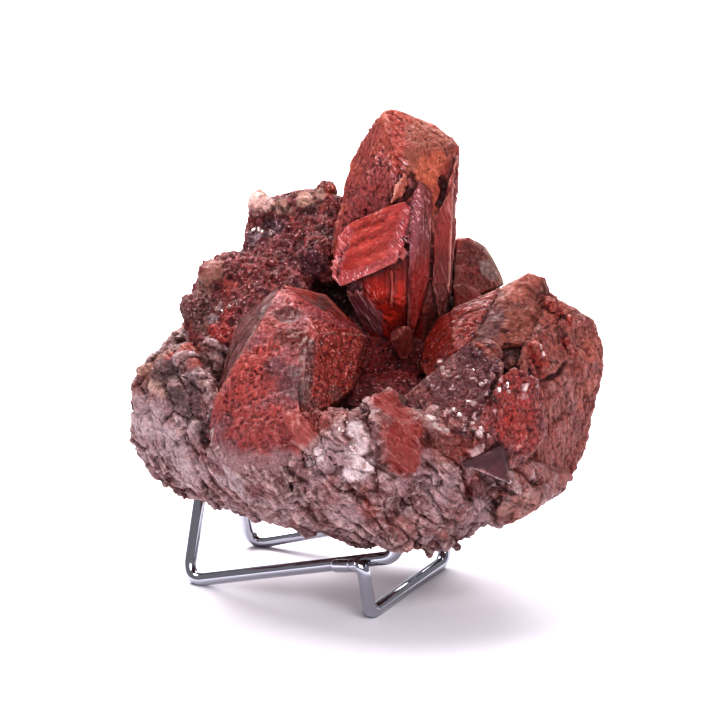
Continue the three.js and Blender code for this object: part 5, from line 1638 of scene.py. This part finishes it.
def add_sky(strength):
    """A dim even surround: the room beyond the lamps."""
    world = bpy.data.worlds.new("room")
    bpy.context.scene.world = world
    world.use_nodes = True
    back = world.node_tree.nodes["Background"]
    back.inputs["Color"].default_value = colour(LIGHT_COLOUR)
    back.inputs["Strength"].default_value = strength


def stage(settings):
    """Floor, surround, three soft lamps and the camera."""
    add_floor()
    add_sky(settings.room)
    for name, place, target, size in LAMPS:
        add_softbox(name, place, target, size, getattr(settings, name))
    add_camera(settings.distance / MM, settings.elevation)
    view = bpy.context.scene.view_settings
    view.view_transform = "Standard"
    view.exposure = settings.exposure
    view.gamma = settings.gamma


# ---- Add-on --------------------------------------------------------------------------------------


class RockSettings(bpy.types.PropertyGroup):
    """Settings of the crystals, the crust and the matrix"""

    fine_skin: FloatProperty(
        name="Fine skin", description="Width of the faces of the long and the left crystal's skins",
        default=0.00032, min=0.0002, max=0.002, precision=5, unit="LENGTH")
    skin: FloatProperty(
        name="Skin", description="Width of the faces of the other skins of the rock",
        default=0.00045, min=0.0003, max=0.002, precision=5, unit="LENGTH")
    seed: IntProperty(
        name="Seed", description="Chooses another random set of small crystals", default=7, min=0)


class EaselSettings(bpy.types.PropertyGroup):
    """Settings of the easel"""

    sides: IntProperty(
        name="Sides", description="How many sides the round wire has", default=24, min=12, max=64)
    bead: FloatProperty(
        name="Weld bead", description="Thickness of the weld bead between the two wires",
        default=0.0018, min=0.001, max=0.003, precision=5, unit="LENGTH")


class StageSettings(bpy.types.PropertyGroup):
    """Settings of the lamps, the camera and the picture"""

    distance: FloatProperty(
        name="Distance", description="From the camera to the middle of the object",
        default=0.64, min=0.3, max=3, unit="LENGTH")
    elevation: FloatProperty(
        name="Elevation", description="How far the camera looks down", default=np.radians(14).item(),
        min=0, max=1.5, unit="ROTATION")
    key: FloatProperty(
        name="Key", description="Power of the lamp above and behind the left side", default=5.2, min=0,
        unit="POWER")
    fill: FloatProperty(
        name="Fill", description="Power of the lamp in front", default=3.6, min=0, unit="POWER")
    backdrop: FloatProperty(
        name="Backdrop", description="Power of the lamp over the paper behind", default=60.0, min=0,
        unit="POWER")
    room: FloatProperty(
        name="Room", description="Strength of the dim surround", default=0.38, min=0)
    exposure: FloatProperty(
        name="Exposure", description="Brightens the picture, in stops", default=0.35)
    gamma: FloatProperty(
        name="Gamma", description="Below 1 deepens the dark tones of the picture", default=0.76, min=0.5,
        max=1.5)


def completed(operator, names):
    """Ends an operator, after making sure that each of its pieces has a surface."""
    empty = [name for name in names if not len(bpy.data.objects[name].data.polygons)]
    if empty:
        raise RuntimeError(f"no surface on {', '.join(empty)}")
    operator.report({"INFO"}, f"built {', '.join(names)}")
    return {"FINISHED"}


class BuildTallCrystal(bpy.types.Operator):
    """Build the long crystal in the middle"""

    bl_idname = "specimen.tall_crystal"
    bl_label = "Long crystal"

    def execute(self, context):
        tall_crystal(context.scene.specimen_rock)
        return completed(self, ["tall_crystal"])


class BuildLeftCrystal(bpy.types.Operator):
    """Build the stout crystal at the front left"""

    bl_idname = "specimen.left_crystal"
    bl_label = "Left crystal"

    def execute(self, context):
        left_crystal(context.scene.specimen_rock)
        return completed(self, ["left_crystal"])


class BuildRightCrystals(bpy.types.Operator):
    """Build the mass of crystals on the right"""

    bl_idname = "specimen.right_crystals"
    bl_label = "Right crystals"

    def execute(self, context):
        right_crystals(context.scene.specimen_rock)
        return completed(self, ["right_crystals"])


class BuildCrust(bpy.types.Operator):
    """Build the sugary crust on the left and between the crystals"""

    bl_idname = "specimen.sugary_crust"
    bl_label = "Sugary crust"

    def execute(self, context):
        sugary_crust(context.scene.specimen_rock)
        return completed(self, ["sugary_crust"])


class BuildMatrix(bpy.types.Operator):
    """Build the three lumps of matrix round the foot and the back"""

    bl_idname = "specimen.matrix"
    bl_label = "Matrix"

    def execute(self, context):
        matrix_pieces(context.scene.specimen_rock)
        return completed(self, ["matrix_left", "matrix_right", "matrix_back"])


class BuildClearCrystals(bpy.types.Operator):
    """Build the small clear crystals that stand on the rock"""

    bl_idname = "specimen.clear_crystals"
    bl_label = "Clear crystals"

    def execute(self, context):
        clear_crystals(context.scene.specimen_rock)
        return completed(self, ["clear_crystals"])


class BuildEasel(bpy.types.Operator):
    """Build the chromed wire easel"""

    bl_idname = "specimen.easel"
    bl_label = "Easel"

    def execute(self, context):
        easel(context.scene.specimen_easel)
        return completed(self, ["easel_frame", "easel_foot", "easel_welds"])


class BuildStage(bpy.types.Operator):
    """Set up the floor, the lamps and the camera"""

    bl_idname = "specimen.stage"
    bl_label = "Stage"

    def execute(self, context):
        stage(context.scene.specimen_stage)
        return completed(self, ["floor"])


BUILDERS = (BuildTallCrystal, BuildLeftCrystal, BuildRightCrystals, BuildCrust, BuildMatrix,
            BuildClearCrystals, BuildEasel, BuildStage)
SETTINGS = {"specimen_rock": RockSettings, "specimen_easel": EaselSettings, "specimen_stage": StageSettings}


class SpecimenPanel(bpy.types.Panel):
    """Every setting and builder of the specimen"""

    bl_idname = "VIEW3D_PT_specimen"
    bl_label = "Gypsum specimen"
    bl_space_type = "VIEW_3D"
    bl_region_type = "UI"
    bl_category = "Specimen"

    def draw(self, context):
        for name, group in SETTINGS.items():
            box = self.layout.box()
            for setting in group.__annotations__:
                box.prop(getattr(context.scene, name), setting)
        for builder in BUILDERS:
            self.layout.operator(builder.bl_idname)


def register():
    """Adds the classes and the settings to Blender."""
    for made in (*SETTINGS.values(), *BUILDERS, SpecimenPanel):
        bpy.utils.register_class(made)
    for name, group in SETTINGS.items():
        setattr(bpy.types.Scene, name, PointerProperty(type=group))


def unregister():
    """Takes the classes and the settings out again."""
    for name in SETTINGS:
        delattr(bpy.types.Scene, name)
    for made in (SpecimenPanel, *reversed(BUILDERS), *reversed(SETTINGS.values())):
        bpy.utils.unregister_class(made)


def main():
    """Builds the whole specimen."""
    register()
    bpy.ops.specimen.stage()
    bpy.ops.specimen.tall_crystal()
    bpy.ops.specimen.left_crystal()
    bpy.ops.specimen.right_crystals()
    bpy.ops.specimen.sugary_crust()
    bpy.ops.specimen.matrix()
    bpy.ops.specimen.clear_crystals()
    bpy.ops.specimen.easel()


if __name__ == "__main__":
    main()
